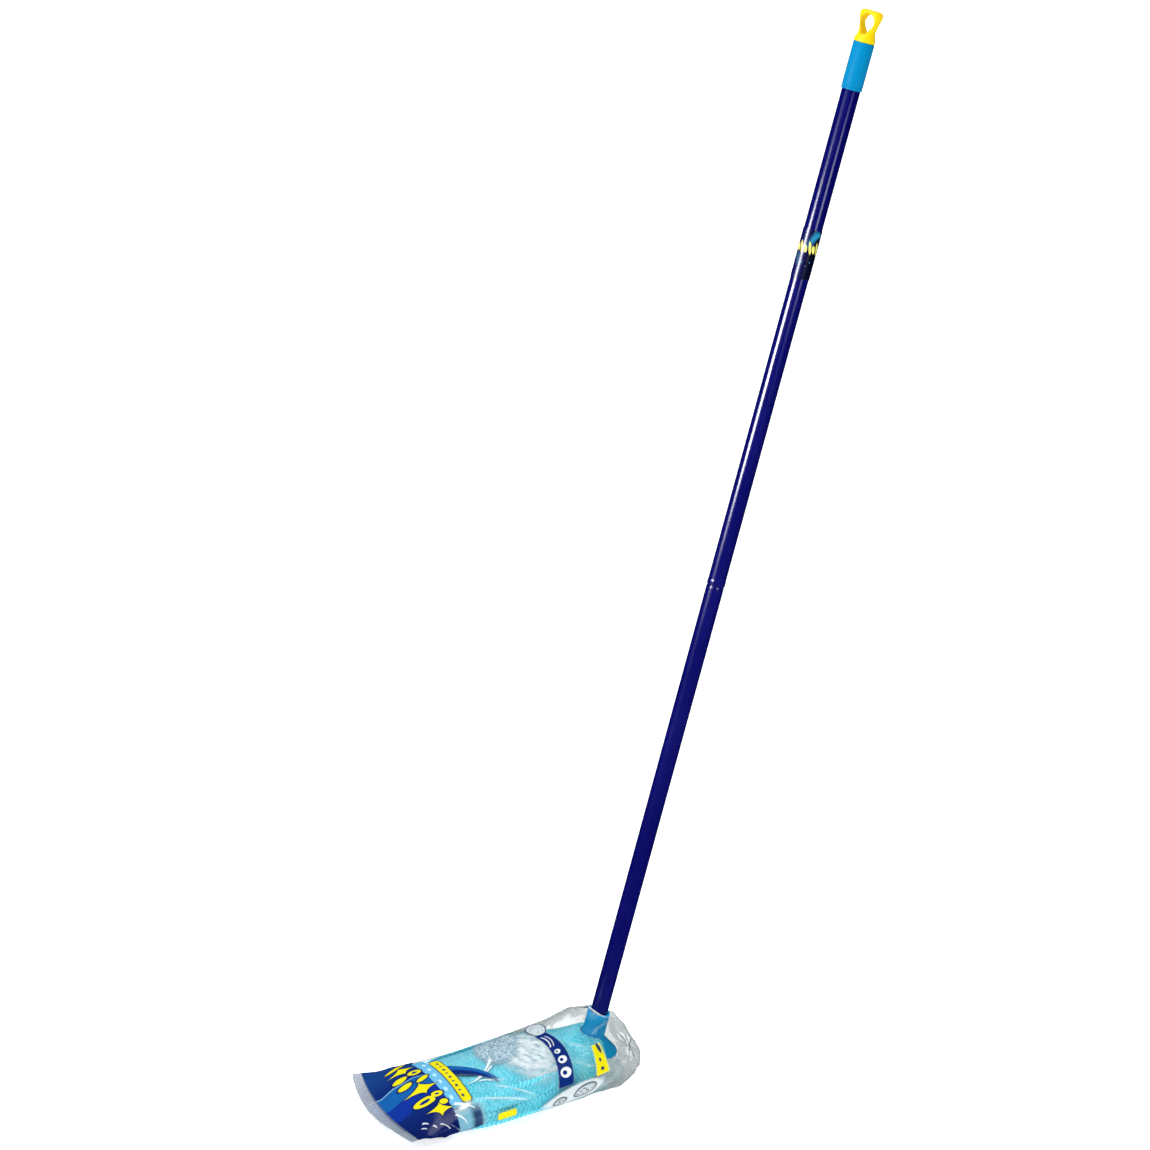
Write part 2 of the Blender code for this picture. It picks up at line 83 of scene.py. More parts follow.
# Bag, as distances along it from under the socket: place, offset to the near side, half width, underside, top
FILM_STATIONS = np.array((
    (-0.054, -0.002, 0.036, 0.018, 0.046),
    (-0.050, -0.001, 0.048, 0.012, 0.062),
    (-0.038, 0.001, 0.061, 0.004, 0.078),
    (-0.020, 0.002, 0.070, 0.0, 0.089),
    (0.008, 0.004, 0.073, 0.0, 0.091),
    (0.040, 0.007, 0.0755, 0.0, 0.083),
    (0.070, 0.010, 0.078, 0.0, 0.077),
    (0.098, 0.012, 0.080, 0.0, 0.072),
    (0.125, 0.012, 0.081, 0.0, 0.066),
    (0.180, 0.011, 0.083, 0.0, 0.056),
    (0.216, 0.008, 0.086, 0.0, 0.050),
    (0.240, 0.005, 0.090, 0.001, 0.044),
    (0.258, 0.002, 0.094, 0.007, 0.033),
    (0.271, 0.000, 0.097, 0.0170, 0.0222),
    (0.288, 0.000, 0.0995, 0.0184, 0.0212),
))
FILM_START, FILM_END = FILM_STATIONS[0, 0], FILM_STATIONS[-1, 0]
SEAL_START, SEAL_BOW, SEAL_SAG = 0.240, 0.013, 0.006
FILM_MIDDLE, FILM_BELLY = 0.42, 0.50  # the widest level's share of the height, and the roundness below it
FILM_SIDES, FILM_RINGS, FILM_END_RINGS = 308, 296, 12
FILM_LIFT = 0.0003  # the film's lowest points above the floor
NECK_R = 0.0152  # the film's opening round the collar
NECK_CUT = 0.0105  # film inside this distance of the axis is cut away before it is drawn in
NECK_REACH = 0.040  # how far from the collar the film is drawn in
NECK_RISE, NECK_TILT = 0.0020, 0.0075  # how far the film climbs the collar, and how much more on the bag's side
END_PLEAT, END_PLEATS, END_BULGE = 0.0022, 9, 0.0030
FILM_CRUMPLE = 0.0024  # depth of the slack film's facets

# Strips
STRIPS = 14
STRIP_CORE, STRIP_FLOOR = 0.24, 0.0018
STRIP_TOP_INSET, STRIP_SIDE_INSET = 0.0045, 0.0070
STRIP_END, STRIP_ROUNDING = 0.236, 0.008
FAN_DROP, FAN_NEAR, FAN_STEPS = 0.0065, 0.004, 6
FAN_HALF_WIDTHS, FAN_OFFSET = (0.031, 0.058), 0.006
LAYERS = (  # of each strip: name, inner and outer radius, points round it, points along it, ribbons side by side
    ("a", 0.78, 1.00, 22, 380, (-1, 1)),
    ("b", 0.50, 0.77, 16, 240, (0,)),
    ("c", 0.27, 0.49, 12, 160, (0,)),
)
RIB_PITCH, RIB_HEIGHT, RIB_SLANT = 0.0056, 0.0011, 1.1
RIBBON_FLOOR = 0.0011
RIBBON_ACROSS, RIBBON_THROUGH = 0.60, 0.80  # powers that square off a ribbon's section
RIBBON_WANDER, RIBBON_LIFT, RIBBON_CROWN = 0.20, 0.035, 0.22
HALF_SHARE, WHOLE_SHARE = 0.27, 0.47  # half width of one ribbon of a pair and of one alone, in shares of a strip
STRAP_TURNS = (-75, -48, -22, 4, 30, 56, 80)  # degrees round the collar of the ribbons laid over the skirt
STRAP_THICK, STRAP_SLANT = 0.0050, -2.6
STRAP_SIDE_INSET, STRAP_TOP_INSET = 0.0095, 0.0069  # inside the film
STRAP_AROUND, STRAP_ALONG = 44, 240  # points round it and along it
STRAP_LEAST_LEAN, STRAP_MOST_LEAN, STRAP_CROWN = -1.3, 1.9, 0.35
STRAP_ON_SKIRT = (  # radius and height about the handle's axis, half width
    (0.0175, -0.0330, 0.0050), (0.0215, -0.0325, 0.0065), (0.0290, -0.0375, 0.0085), (0.0385, -0.0450, 0.0105))
STRAP_UNDER_SKIRT = ((0.0260, -0.0500, 0.0070), (0.0350, -0.0525, 0.0085), (0.0430, -0.0580, 0.0100))
STRAP_ON_BUNDLE = (  # place along the bag, share of its size, half width
    (0.062, 0.94, 0.0140), (0.088, 1.00, 0.0185), (0.112, 1.00, 0.0200), (0.140, 1.00, 0.0200),
    (0.170, 1.00, 0.0190), (0.195, 0.99, 0.0170), (0.208, 0.94, 0.0150))
WHITE_STRAP_TURNS = (104, 128)  # the same for the white ribbons that come out from under the skirt
WHITE_ON_BUNDLE = ((0.050, 0.80, 0.0110), (0.075, 0.76, 0.0110), (0.095, 0.66, 0.0110))

FINE = 96  # sides of a turned piece
SHARP = math.radians(35.0)  # edges sharper than this aren't smoothed

# Inks
NAVY = (0.0030, 0.0200, 0.160)
DEEP_NAVY = (0.0020, 0.0080, 0.085)
BRIGHT_BLUE = (0.0050, 0.100, 0.360)
SKY = (0.130, 0.450, 0.720)
YELLOW = (0.760, 0.680, 0.004)
WHITE = (0.80, 0.86, 0.88)
PALE = (0.56, 0.64, 0.67)
BLACK = (0.02, 0.03, 0.05)
DARK = (0.012, 0.035, 0.10)
SOFT = 0.0006  # width of a shape's soft edge

# Printed shapes on the bag's dark field, in the bag's print: place round it, place along it, half sizes, turn
SPARKLES = ((-0.047, 0.2420, 0.0150, 0.0100, 0.10), (0.014, 0.2390, 0.0185, 0.0125, 0.0),
            (0.063, 0.2350, 0.0150, 0.0110, -0.15))
BUBBLES = ((-0.0635, 0.2440, 0.0110, 0.0030, 0.30), (-0.0290, 0.2330, 0.0072, 0.0058, 0.0),
           (-0.0275, 0.2500, 0.0062, 0.0050, 0.0), (-0.0070, 0.2310, 0.0080, 0.0034, 0.5),
           (-0.0090, 0.2500, 0.0058, 0.0046, 0.0), (0.0350, 0.2290, 0.0062, 0.0048, 0.0),
           (0.0400, 0.2450, 0.0098, 0.0066, -0.2), (0.0520, 0.2270, 0.0044, 0.0040, 0.0))
BUBBLE_HOLES = ((-0.0290, 0.2330, 0.0036, 0.0026), (0.0400, 0.2450, 0.0054, 0.0030), (0.0350, 0.2290, 0.0026, 0.0020))
STAR_POWER, STAR_SOFT = 0.62, 0.05  # a sparkle's hollow sides and its soft edge

# Decal, in distances across from its middle and up from its foot
LABEL_FACING = math.radians(-92.0)  # where its middle is round the tube
LABEL_DROPS = ((-0.0090, 0.0375, 0.0014, 0.0074), (-0.0040, 0.0365, 0.0019, 0.0046), (0.0010, 0.0380, 0.0014, 0.0076),
               (0.0056, 0.0365, 0.0018, 0.0048), (0.0102, 0.0375, 0.0014, 0.0076), (-0.0135, 0.0365, 0.0018, 0.0046))


# ---------------------------------------------------------------- node graphs

class Graph:
    """Short calls that add nodes to a material and return the socket to read."""

    def __init__(self, mat):
        mat.use_nodes = True
        self.tree = mat.node_tree
        self.shader = self.tree.nodes["Principled BSDF"]
        self.output = self.tree.nodes["Material Output"]

    def put(self, value, socket):
        """Links a socket or sets a plain value. A colour of three numbers is opaque."""
        if isinstance(value, bpy.types.NodeSocket):
            self.tree.links.new(value, socket)
        elif value is not None:
            opaque = socket.type == "RGBA" and len(value) == 3
            socket.default_value = (*value, 1.0) if opaque else value

    def call(self, kind, output, inputs, **settings):
        """Adds a node, fills its inputs and returns one of its outputs."""
        made = self.tree.nodes.new(kind)
        for name, value in settings.items():
            setattr(made, name, value)
        for name, value in inputs.items():
            self.put(value, made.inputs[name])
        return made.outputs[output]

    def math(self, operation, a, b=None, c=None, clamp=False):
        return self.call("ShaderNodeMath", 0, {0: a, 1: b, 2: c}, operation=operation, use_clamp=clamp)

    def times(self, a, b):
        return self.math("MULTIPLY", a, b)

    def plus(self, a, b):
        return self.math("ADD", a, b)

    def minus(self, a, b):
        return self.math("SUBTRACT", a, b)

    def vector(self, operation, a, b=None):
        output = "Value" if operation in ("LENGTH", "DOT_PRODUCT") else "Vector"
        return self.call("ShaderNodeVectorMath", output, {0: a, 1: b}, operation=operation)

    def mapped(self, vector, location=(0, 0, 0), turn=0.0, scale=(1, 1, 1)):
        """The vector seen from a frame at location, turned about Z."""
        inputs = {"Vector": vector, "Location": location, "Rotation": (0, 0, turn), "Scale": scale}
        return self.call("ShaderNodeMapping", "Vector", inputs, vector_type="TEXTURE")

    def axes(self, vector):
        """The vector's x, y and z. Unlike Separate XYZ, these take no shader memory where they aren't used."""
        return [self.vector("DOT_PRODUCT", vector, axis) for axis in ((1, 0, 0), (0, 1, 0), (0, 0, 1))]

    def steps(self, value, low, high, to_low=0.0, to_high=1.0):
        """A smooth step from to_low, where the value is low, to to_high, where it is high."""
        inputs = dict(enumerate((value, low, high, to_low, to_high)))
        return self.call("ShaderNodeMapRange", 0, inputs, interpolation_type="SMOOTHSTEP")

    def mix(self, share, a, b):
        return self.call("ShaderNodeMix", 2, {0: share, 6: a, 7: b}, data_type="RGBA")

    def noise(self, vector, scale, detail=2.0, roughness=0.5, distortion=0.0):
        inputs = {"Vector": vector, "Scale": scale, "Detail": detail, "Roughness": roughness, "Distortion": distortion}
        return self.call("ShaderNodeTexNoise", "Fac", inputs)

    def coordinates(self):
        return self.call("ShaderNodeTexCoord", "Object", {})

    def attribute(self, name):
        return self.call("ShaderNodeAttribute", "Fac", {}, attribute_name=name)

    def bump(self, height, distance, strength):
        return self.call("ShaderNodeBump", "Normal", {"Strength": strength, "Distance": distance, "Height": height})

    def mix_shaders(self, share, a, b):
        return self.call("ShaderNodeMixShader", 0, {0: share, 1: a, 2: b})

    def set(self, **values):
        """Sets or links inputs of the Principled shader; an underscore stands for a space."""
        for name, value in values.items():
            self.put(value, self.shader.inputs[name.replace("_", " ")])


def new_material(name):
    mat = bpy.data.materials.new(name)
    return mat, Graph(mat)


# ---------------------------------------------------------------- meshes

def mesh_object(name, points, faces, matrix, mat):
    """A mesh object from points in a local frame, smooth except at sharp edges."""
    mesh = bpy.data.meshes.new(name)
    mesh.from_pydata([tuple(p) for p in points], [], [tuple(f) for f in faces])
    bm = bmesh.new()
    bm.from_mesh(mesh)
    bmesh.ops.remove_doubles(bm, verts=bm.verts, dist=1e-7)
    bmesh.ops.dissolve_degenerate(bm, dist=1e-7, edges=bm.edges)
    bmesh.ops.recalc_face_normals(bm, faces=bm.faces)
    if bm.calc_volume(signed=True) < 0:
        bmesh.ops.reverse_faces(bm, faces=bm.faces)
    bm.to_mesh(mesh)
    bm.free()
    mesh.shade_smooth()
    mesh.set_sharp_from_angle(angle=SHARP)
    mesh.materials.append(mat)
    obj = bpy.data.objects.new(name, mesh)
    obj.matrix_world = matrix
    bpy.context.scene.collection.objects.link(obj)
    return obj


def grid_mesh(name, points, cyclic, matrix, mat):
    """A smooth object from an array of rows of points, closed round each row when cyclic.

    The matrix is worked into the points, so that the piece's own box is square to the model's frame.
    """
    rows, columns = points.shape[:2]
    points = points @ np.array(matrix)[:3, :3].T + np.array(matrix.translation)
    index = np.arange(rows * columns).reshape(rows, columns)
    beside = np.roll(index, -1, axis=1) if cyclic else index[:, 1:]
    here = index if cyclic else index[:, :-1]
    quads = np.stack([here[:-1], beside[:-1], beside[1:], here[1:]], axis=-1).reshape(-1, 4)
    mesh = bpy.data.meshes.new(name)
    mesh.vertices.add(rows * columns)
    mesh.vertices.foreach_set("co", points.astype(np.float32).ravel())
    mesh.loops.add(quads.size)
    mesh.loops.foreach_set("vertex_index", quads.astype(np.int32).ravel())
    mesh.polygons.add(len(quads))
    mesh.polygons.foreach_set("loop_start", np.arange(0, quads.size, 4, dtype=np.int32))
    mesh.update(calc_edges=True)
    mesh.shade_smooth()
    mesh.materials.append(mat)
    obj = bpy.data.objects.new(name, mesh)
    bpy.context.scene.collection.objects.link(obj)
    return obj


def circle(radius, z):
    turn = 2 * math.pi / FINE
    return [(radius * math.cos(i * turn), radius * math.sin(i * turn), z) for i in range(FINE)]


def band(low, high):
    """Quads between two rings of points, by the numbers of their first points."""
    return [(low + i, low + (i + 1) % FINE, high + (i + 1) % FINE, high + i) for i in range(FINE)]


def bands(starts):
    """Quads that join each ring to the next."""
    return [face for low, high in zip(starts, starts[1:]) for face in band(low, high)]


def disc(start):
    """One face that closes a ring."""
    return tuple(range(start, start + FINE))


def turned(name, profile, mat):
    """A piece of revolution about the handle's axis, with the profile's last point joined to its first."""
    points = [p for radius, z in profile for p in circle(radius, z)]
    starts = [k * FINE for k in range(len(profile))] + [0]
    return mesh_object(name, points, bands(starts), AXIS, mat)


def rounded(profile, radius):
    """A profile with each inner corner cut by a small arc."""
    steps = 3
    out = [profile[0]]
    for before, here, after in zip(profile, profile[1:], profile[2:]):
        before, here, after = (np.array(p) for p in (before, here, after))
        a, b = before - here, after - here
        cut = min(radius, 0.45 * np.linalg.norm(a), 0.45 * np.linalg.norm(b))
        start = here + a / np.linalg.norm(a) * cut
        end = here + b / np.linalg.norm(b) * cut
        for i in range(steps + 1):
            t = i / steps
            out.append(tuple((1 - t) ** 2 * start + 2 * t * (1 - t) * here + t * t * end))
    out.append(profile[-1])
    return out


# ---------------------------------------------------------------- thread, socket and tip

def thread_faces(low, high, offset, open_top, points, faces):
    """The threaded wall, appended to points and faces. Its clamped ends close when doubles are removed.

    The thread fades out at both ends, to its core or, at an open top, to its full radius.
    """
    top_height = 1.0 if open_top else 0.0
    first = math.floor((low - THREAD_BOTTOM) / PITCH) - 1
    last = math.ceil((high - THREAD_BOTTOM) / PITCH)
    starts = []
    for i in range(FINE):
        angle = 2 * math.pi * i / FINE
        starts.append(len(points))
        for turn in range(first, last + 1):
            for phase, height in THREAD_PHASES:
                z = min(max(THREAD_BOTTOM + PITCH * (turn + phase + i / FINE), low), high)
                depth = height * min((z - low) / THREAD_FADE, 1.0)
                depth += (top_height - depth) * (1.0 - min((high - z) / THREAD_FADE, 1.0))
                radius = THREAD_CORE_R + offset + THREAD_DEPTH * depth
                points.append((radius * math.cos(angle), radius * math.sin(angle), z))
    rows = len(points) - starts[-1]
    step = len(THREAD_PHASES)
    for i in range(FINE):
        here = starts[i]
        there = starts[(i + 1) % FINE]
        climb = step if i == FINE - 1 else 0
        for row in range(rows - 1 - climb):
            faces.append((here + row, there + row + climb, there + row + climb + 1, here + row + 1))


def ring_faces(profile, points, faces):
    """Rings through a profile, appended to points and faces. Returns where its first and last rings start."""
    starts = []
    for radius, z in profile:
        starts.append(len(points))
        points += circle(radius, z)
    faces += bands(starts)
    return starts[0], starts[-1]


def make_socket(mat):
    """Collar with the female thread, web, boss and conical skirt."""
    points, faces = [], []
    bore_low, bore_high = WEB_TOP + 0.0006, THREAD_TOP + 0.0008
    clear_r = THREAD_CORE_R + THREAD_CLEARANCE
    thread_faces(bore_low, bore_high, THREAD_CLEARANCE, True, points, faces)
    outside = rounded(
        [(clear_r + THREAD_DEPTH, bore_high), (BORE_R, bore_high + 0.0006), (BORE_R, -0.0008), (BORE_R + 0.0008, 0.0),
         (COLLAR_R, 0.0), (COLLAR_R + 0.0002, -COLLAR_LENGTH), (COLLAR_R + 0.0016, -COLLAR_LENGTH - 0.0018),
         (RIM_R, RIM_Z + 0.002), (RIM_R, RIM_Z), (RIM_R - SKIRT_WALL, RIM_Z),
         (RIM_R - SKIRT_WALL, RIM_Z + 0.0012), (COLLAR_R - 0.001, WEB_BOTTOM), (BOSS_R, WEB_BOTTOM),
         (BOSS_R, WEB_BOTTOM - 0.006), (BOSS_BORE_R, WEB_BOTTOM - 0.006),
         (BOSS_BORE_R, WEB_BOTTOM + 0.001)], 0.0006)
    _, bore = ring_faces(outside, points, faces)
    faces.append(disc(bore))
    _, floor = ring_faces([(clear_r, bore_low), (clear_r - 0.0006, WEB_TOP)], points, faces)
    faces.append(disc(floor))
    return mesh_object("socket_moulding", points, faces, AXIS, mat)


def make_tip(mat):
    """The insert in the tube's end: plug, shoulder and male thread."""
    points, faces = [], []
    thread_faces(THREAD_BOTTOM, THREAD_TOP, 0.0, False, points, faces)
    shoulder = TUBE_BOTTOM - GAP
    above = rounded(
        [(THREAD_CORE_R, THREAD_TOP), (THREAD_CORE_R, THREAD_TOP + 0.0012), (TUBE_R, THREAD_TOP + 0.0018),
         (TUBE_R, shoulder), (PLUG_R, shoulder), (PLUG_R, TIP_PLUG - 0.001), (PLUG_R - 0.001, TIP_PLUG)], 0.0003)
    _, top = ring_faces(above, points, faces)
    faces.append(disc(top))
    below = [(THREAD_CORE_R - 0.0012, THREAD_BOTTOM - 0.0012), (THREAD_CORE_R, THREAD_BOTTOM)]
    bottom, _ = ring_faces(below, points, faces)
    faces.append(disc(bottom))
    return mesh_object("threaded_tip", points, faces, AXIS, mat)


# ---------------------------------------------------------------- handle

def make_tubes(mat):
    inner = TUBE_R - TUBE_WALL
    lower = rounded(
        [(inner, TUBE_BOTTOM), (TUBE_R, TUBE_BOTTOM), (TUBE_R, JOINT_Z - 0.003), (PLUG_R, JOINT_Z),
         (PLUG_R, JOINT_Z + SPIGOT_LENGTH), (PLUG_R - TUBE_WALL, JOINT_Z + SPIGOT_LENGTH),
         (PLUG_R - TUBE_WALL, JOINT_Z - 0.001), (inner, JOINT_Z - 0.004)], 0.0003)
    top = GRIP_TOP - 0.001
    bead = TUBE_R + BEAD
    upper = rounded(
        [(inner, JOINT_Z + GAP), (bead - 0.0002, JOINT_Z + GAP), (bead, JOINT_Z + 0.0010), (bead, JOINT_Z + 0.006),
         (TUBE_R, JOINT_Z + 0.008), (TUBE_R, top), (inner, top)], 0.0003)
    return turned("lower_steel_tube", lower, mat), turned("upper_steel_tube", upper, mat)


def make_grip(mat):
    """The sleeve under the cap, with its ends rolled over and a shallow parting groove at its foot."""
    bore = TUBE_R + GAP
    profile = rounded(
        [(bore, GRIP_BOTTOM), (GRIP_R, GRIP_BOTTOM), (GRIP_R, GRIP_BOTTOM + 0.0030),
         (GRIP_R - 0.00035, GRIP_BOTTOM + 0.0034), (GRIP_R - 0.00035, GRIP_BOTTOM + 0.0040),
         (GRIP_R, GRIP_BOTTOM + 0.0044), (GRIP_R, GRIP_TOP), (bore, GRIP_TOP)], 0.0008)
    return turned("grip_moulding", profile, mat)


def make_label(mat):
    bore = TUBE_R + GAP
    radius = bore + LABEL_THICK
    return turned("printed_sleeve", [(bore, LABEL_BOTTOM), (radius, LABEL_BOTTOM), (radius, LABEL_TOP),
                                     (bore, LABEL_TOP)], mat)


def smooth_levels(levels, steps):
    """Catmull-Rom through rows of numbers."""
    levels = np.array(levels)
    padded = np.vstack([levels[:1], levels, levels[-1:]])
    out = []
    for a, b, c, d in zip(padded, padded[1:], padded[2:], padded[3:]):
        for i in range(steps):
            t = i / steps
            out.append(0.5 * (2 * b + (c - a) * t + (2 * a - 5 * b + 4 * c - d) * t ** 2
                              + (3 * b - a - 3 * c + d) * t ** 3))
    return out + [levels[-1]]


def make_cap(mat):
    """The hanging loop: a lofted shape with its hole cut through, then worked over to round every edge."""
    plug = [(r, r, z, 2.0) for r, z in ((PLUG_R - 0.001, -CAP_PLUG), (PLUG_R, 0.001 - CAP_PLUG), (PLUG_R, 0.0),
                                        (GRIP_R, 0.0), (GRIP_R, 0.0035))]
    body = smooth_levels(
        [(GRIP_R - 0.0006, GRIP_R - 0.001, 0.0050, 2.0), (0.0107, 0.0096, 0.0090, 2.1),
         (0.0102, 0.0086, 0.0130, 2.2), (0.0110, 0.0083, 0.0180, 2.4), (0.0124, 0.0082, 0.0235, 2.6),
         (0.0138, 0.0081, 0.0285, 2.8), (0.0145, 0.0079, 0.0320, 2.8), (0.0140, 0.0074, 0.0345, 2.8),
         (0.0122, 0.0062, 0.0363, 2.8), (0.0090, 0.0042, CAP_HEIGHT, 2.8)], 4)
    points, starts = [], []
    for half_x, half_y, z, power in plug + body:
        starts.append(len(points))
        for i in range(FINE):
            c, s = math.cos(2 * math.pi * i / FINE), math.sin(2 * math.pi * i / FINE)
            points.append((half_x * math.copysign(abs(c) ** (2 / power), c),
                           half_y * math.copysign(abs(s) ** (2 / power), s), z))
    faces = bands(starts) + [disc(0), disc(starts[-1])]
    place = AXIS @ Matrix.Translation((0, 0, GRIP_TOP + GAP)) @ Matrix.Rotation(CAP_TURN, 4, "Z")
    cap = mesh_object("hanging_loop", points, faces, place, mat)
    cutter = hole_cutter(place)
    for kind, settings in (("BOOLEAN", {"operation": "DIFFERENCE", "object": cutter}),
                           ("REMESH", {"mode": "VOXEL", "voxel_size": 0.0005, "use_smooth_shade": True}),
                           ("SMOOTH", {"factor": 0.5, "iterations": 5})):
        modifier = cap.modifiers.new(kind, kind)
        for name, value in settings.items():
            setattr(modifier, name, value)
    applied = bpy.data.meshes.new_from_object(cap.evaluated_get(bpy.context.evaluated_depsgraph_get()))
    cap.modifiers.clear()
    cap.data = applied
    bpy.data.objects.remove(cutter, do_unlink=True)
    return cap


def hole_cutter(place):
    """A bar across the loop: two round ends, the upper one wider, and straight sides."""
    (high, high_r), (low, low_r) = CAP_HOLE
    reach, steps = 0.02, 24
    slope = math.asin((high_r - low_r) / (high - low))
    outline = []
    for middle, radius, start, end in ((high, high_r, -slope, math.pi + slope),
                                       (low, low_r, math.pi + slope, 2 * math.pi - slope)):
        for i in range(steps + 1):
            angle = start + (end - start) * i / steps
            outline.append((radius * math.cos(angle), middle + radius * math.sin(angle)))
    count = len(outline)
    points = [(x, y, z) for y in (-reach, reach) for x, z in outline]
    faces = [(i, (i + 1) % count, count + (i + 1) % count, count + i) for i in range(count)]
    faces += [tuple(range(count)), tuple(range(count, 2 * count))]
    return mesh_object("hole_cutter", points, faces, place, None)


# ---------------------------------------------------------------- strips

def film_size(place):
    """The bag's offset, half width, underside and top at a place along it."""
    return [np.interp(place, FILM_STATIONS[:, 0], FILM_STATIONS[:, k]) for k in range(1, 5)]


def oval_section(centre, side, up, least=0.0, gain=1.0):
    """A section of the bundle, as a function from arrays of radius and angle to points in the bag's frame."""
    def place(radius, angle):
        radius = least + gain * radius
        return centre + (radius * np.cos(angle))[..., None] * side + (radius * np.sin(angle))[..., None] * up
    return place


def bundle_sections():
    """The bundle's sections: three in the socket, some round the bend under it, and the rest along the bag."""
    turn = np.array(AXIS_TO_BAG.to_3x3())
    origin = np.array(AXIS_TO_BAG.translation)
    along = np.linalg.inv(turn) @ np.array((1.0, 0.0, 0.0))
    along = np.array((along[0], along[1], 0.0)) / math.hypot(along[0], along[1])
    across = np.array((-along[1], along[0], 0.0))
    sections = []
    for inner, outer, z in ((0.0085, 0.0215, -0.0440), (CLAMP_R + 0.0013, 0.0250, CLAMP_TOP + 0.0006),
                            (CLAMP_R + 0.0013, 0.0300, CLAMP_BOTTOM - 0.0006)):
        gain = (outer - inner) / (1 - STRIP_CORE)
        centre = turn @ np.array((0.0, 0.0, z)) + origin
        sections.append(oval_section(centre, turn @ across, turn @ along, inner - gain * STRIP_CORE, gain))
    down = turn @ np.array((0.0, 0.0, -1.0))
    start = math.atan2(down[0], -down[2])
    rim = turn @ np.array((0.0, 0.0, RIM_Z)) + origin
    pivot = rim + down * FAN_DROP + np.array((math.cos(start), 0.0, math.sin(start))) * (RIM_R + 0.0015)
    pivot[1] = 0.0
    for share in np.linspace(0.0, 1.0, FAN_STEPS + 1):
        bend = start + (math.pi / 2 - start) * share
        outward = np.array((-math.cos(bend), 0.0, -math.sin(bend)))
        far = min(2 * RIM_R - 0.003, (pivot[2] - STRIP_FLOOR) / math.sin(bend))
        centre = pivot + outward * (FAN_NEAR + far) / 2 + np.array((0.0, FAN_OFFSET * share, 0.0))
        half_width = FAN_HALF_WIDTHS[0] + (FAN_HALF_WIDTHS[1] - FAN_HALF_WIDTHS[0]) * share
        sections.append(oval_section(centre, np.array((0.0, half_width, 0.0)), outward * (FAN_NEAR - far) / 2))
    for x in (0.070, 0.125, 0.180, 0.216, STRIP_END - STRIP_ROUNDING, STRIP_END):
        offset, half_width, low, high = film_size(x)
        end_in = STRIP_ROUNDING / 2 if x == STRIP_END else 0.0
        half_width -= STRIP_SIDE_INSET + end_in
        low, high = low + STRIP_FLOOR + end_in, high - STRIP_TOP_INSET - end_in
        sections.append(oval_section(np.array((x, offset, (low + high) / 2)), np.array((0.0, half_width, 0.0)),
                                     np.array((0.0, 0.0, (high - low) / 2))))
    return sections


def curve_through(rows, count):
    """Catmull-Rom through rows of points, with count rows evenly spaced along the middle line."""
    middle = rows.mean(axis=1)
    lengths = np.concatenate([[0.0], np.cumsum(np.linalg.norm(np.diff(middle, axis=0), axis=1))])
    at = np.linspace(0.0, lengths[-1], count)
    k = np.clip(np.searchsorted(lengths, at, side="right") - 1, 0, len(rows) - 2)
    t = ((at - lengths[k]) / (lengths[k + 1] - lengths[k]))[:, None, None]
    slope = np.gradient(rows, lengths, axis=0)
    span = (lengths[k + 1] - lengths[k])[:, None, None]
    a, b, da, db = rows[k], rows[k + 1], slope[k] * span, slope[k + 1] * span
    out = (a * (1 - 3 * t ** 2 + 2 * t ** 3) + b * (3 * t ** 2 - 2 * t ** 3)
           + da * (t - 2 * t ** 2 + t ** 3) + db * (t ** 3 - t ** 2))
    return out, at


def surface_normals(points):
    """Outward unit normals of a tube of rows of points."""
    along = np.gradient(points, axis=0)
    around = (np.roll(points, -1, axis=1) - np.roll(points, 1, axis=1)) / 2
    normal = np.cross(around, along)
    normal /= np.maximum(np.linalg.norm(normal, axis=-1, keepdims=True), 1e-12)
    outward = points - points.mean(axis=1, keepdims=True)
    if (normal * outward).sum() < 0:
        normal = -normal
    return normal


def flat_section(count):
    """A ribbon's section: places across it, from -1 to 1, and through it, from -1 inside to 1 outside."""
    turn = np.linspace(0.0, 2 * math.pi, count, endpoint=False)
    across, through = np.cos(turn), np.sin(turn)
    return (np.sign(across) * np.abs(across) ** RIBBON_ACROSS,
            np.sign(through) * np.abs(through) ** RIBBON_THROUGH)


def make_ribbon(name, index, layer, half, sections, mat):
    """One ribbed microfibre ribbon: a soft flat loft through its share of the bundle.

    half is the ribbon's place in the strip's share, -1 or 1, or 0 for a ribbon as wide as the share.
    """
    letter, inner, outer, around, count, _ = layer
    seed = index * 7.31 + ord(letter) * 1.7 + half * 2.9
    share = 2 * math.pi / STRIPS
    width = share * (HALF_SHARE if half else WHOLE_SHARE)
    wide, deep = flat_section(around)
    rows = []
    for k, section in enumerate(sections):
        free = 1.0 if 3 < k < len(sections) - 2 else 0.0
        wander = free * RIBBON_WANDER * share * math.sin(seed + 0.9 * k)
        lift = free * RIBBON_LIFT * math.sin(1.7 * seed + 1.3 * k)
        angle = share * (index + 0.5 + 0.25 * half) + width * wide + wander
        radius = (inner + outer) / 2 + (outer - inner) / 2 * deep * 0.92 + min(lift, 1.0 - outer)
        crown = RIBBON_CROWN * ((1 - wide ** 2) * (deep > 0) - 1)
        rows.append(section(radius + crown * (outer - inner), angle))
    return ribbed_piece(name, rows, count, wide, seed, RIB_SLANT * half + 0.45 * index, RIB_SLANT, mat)


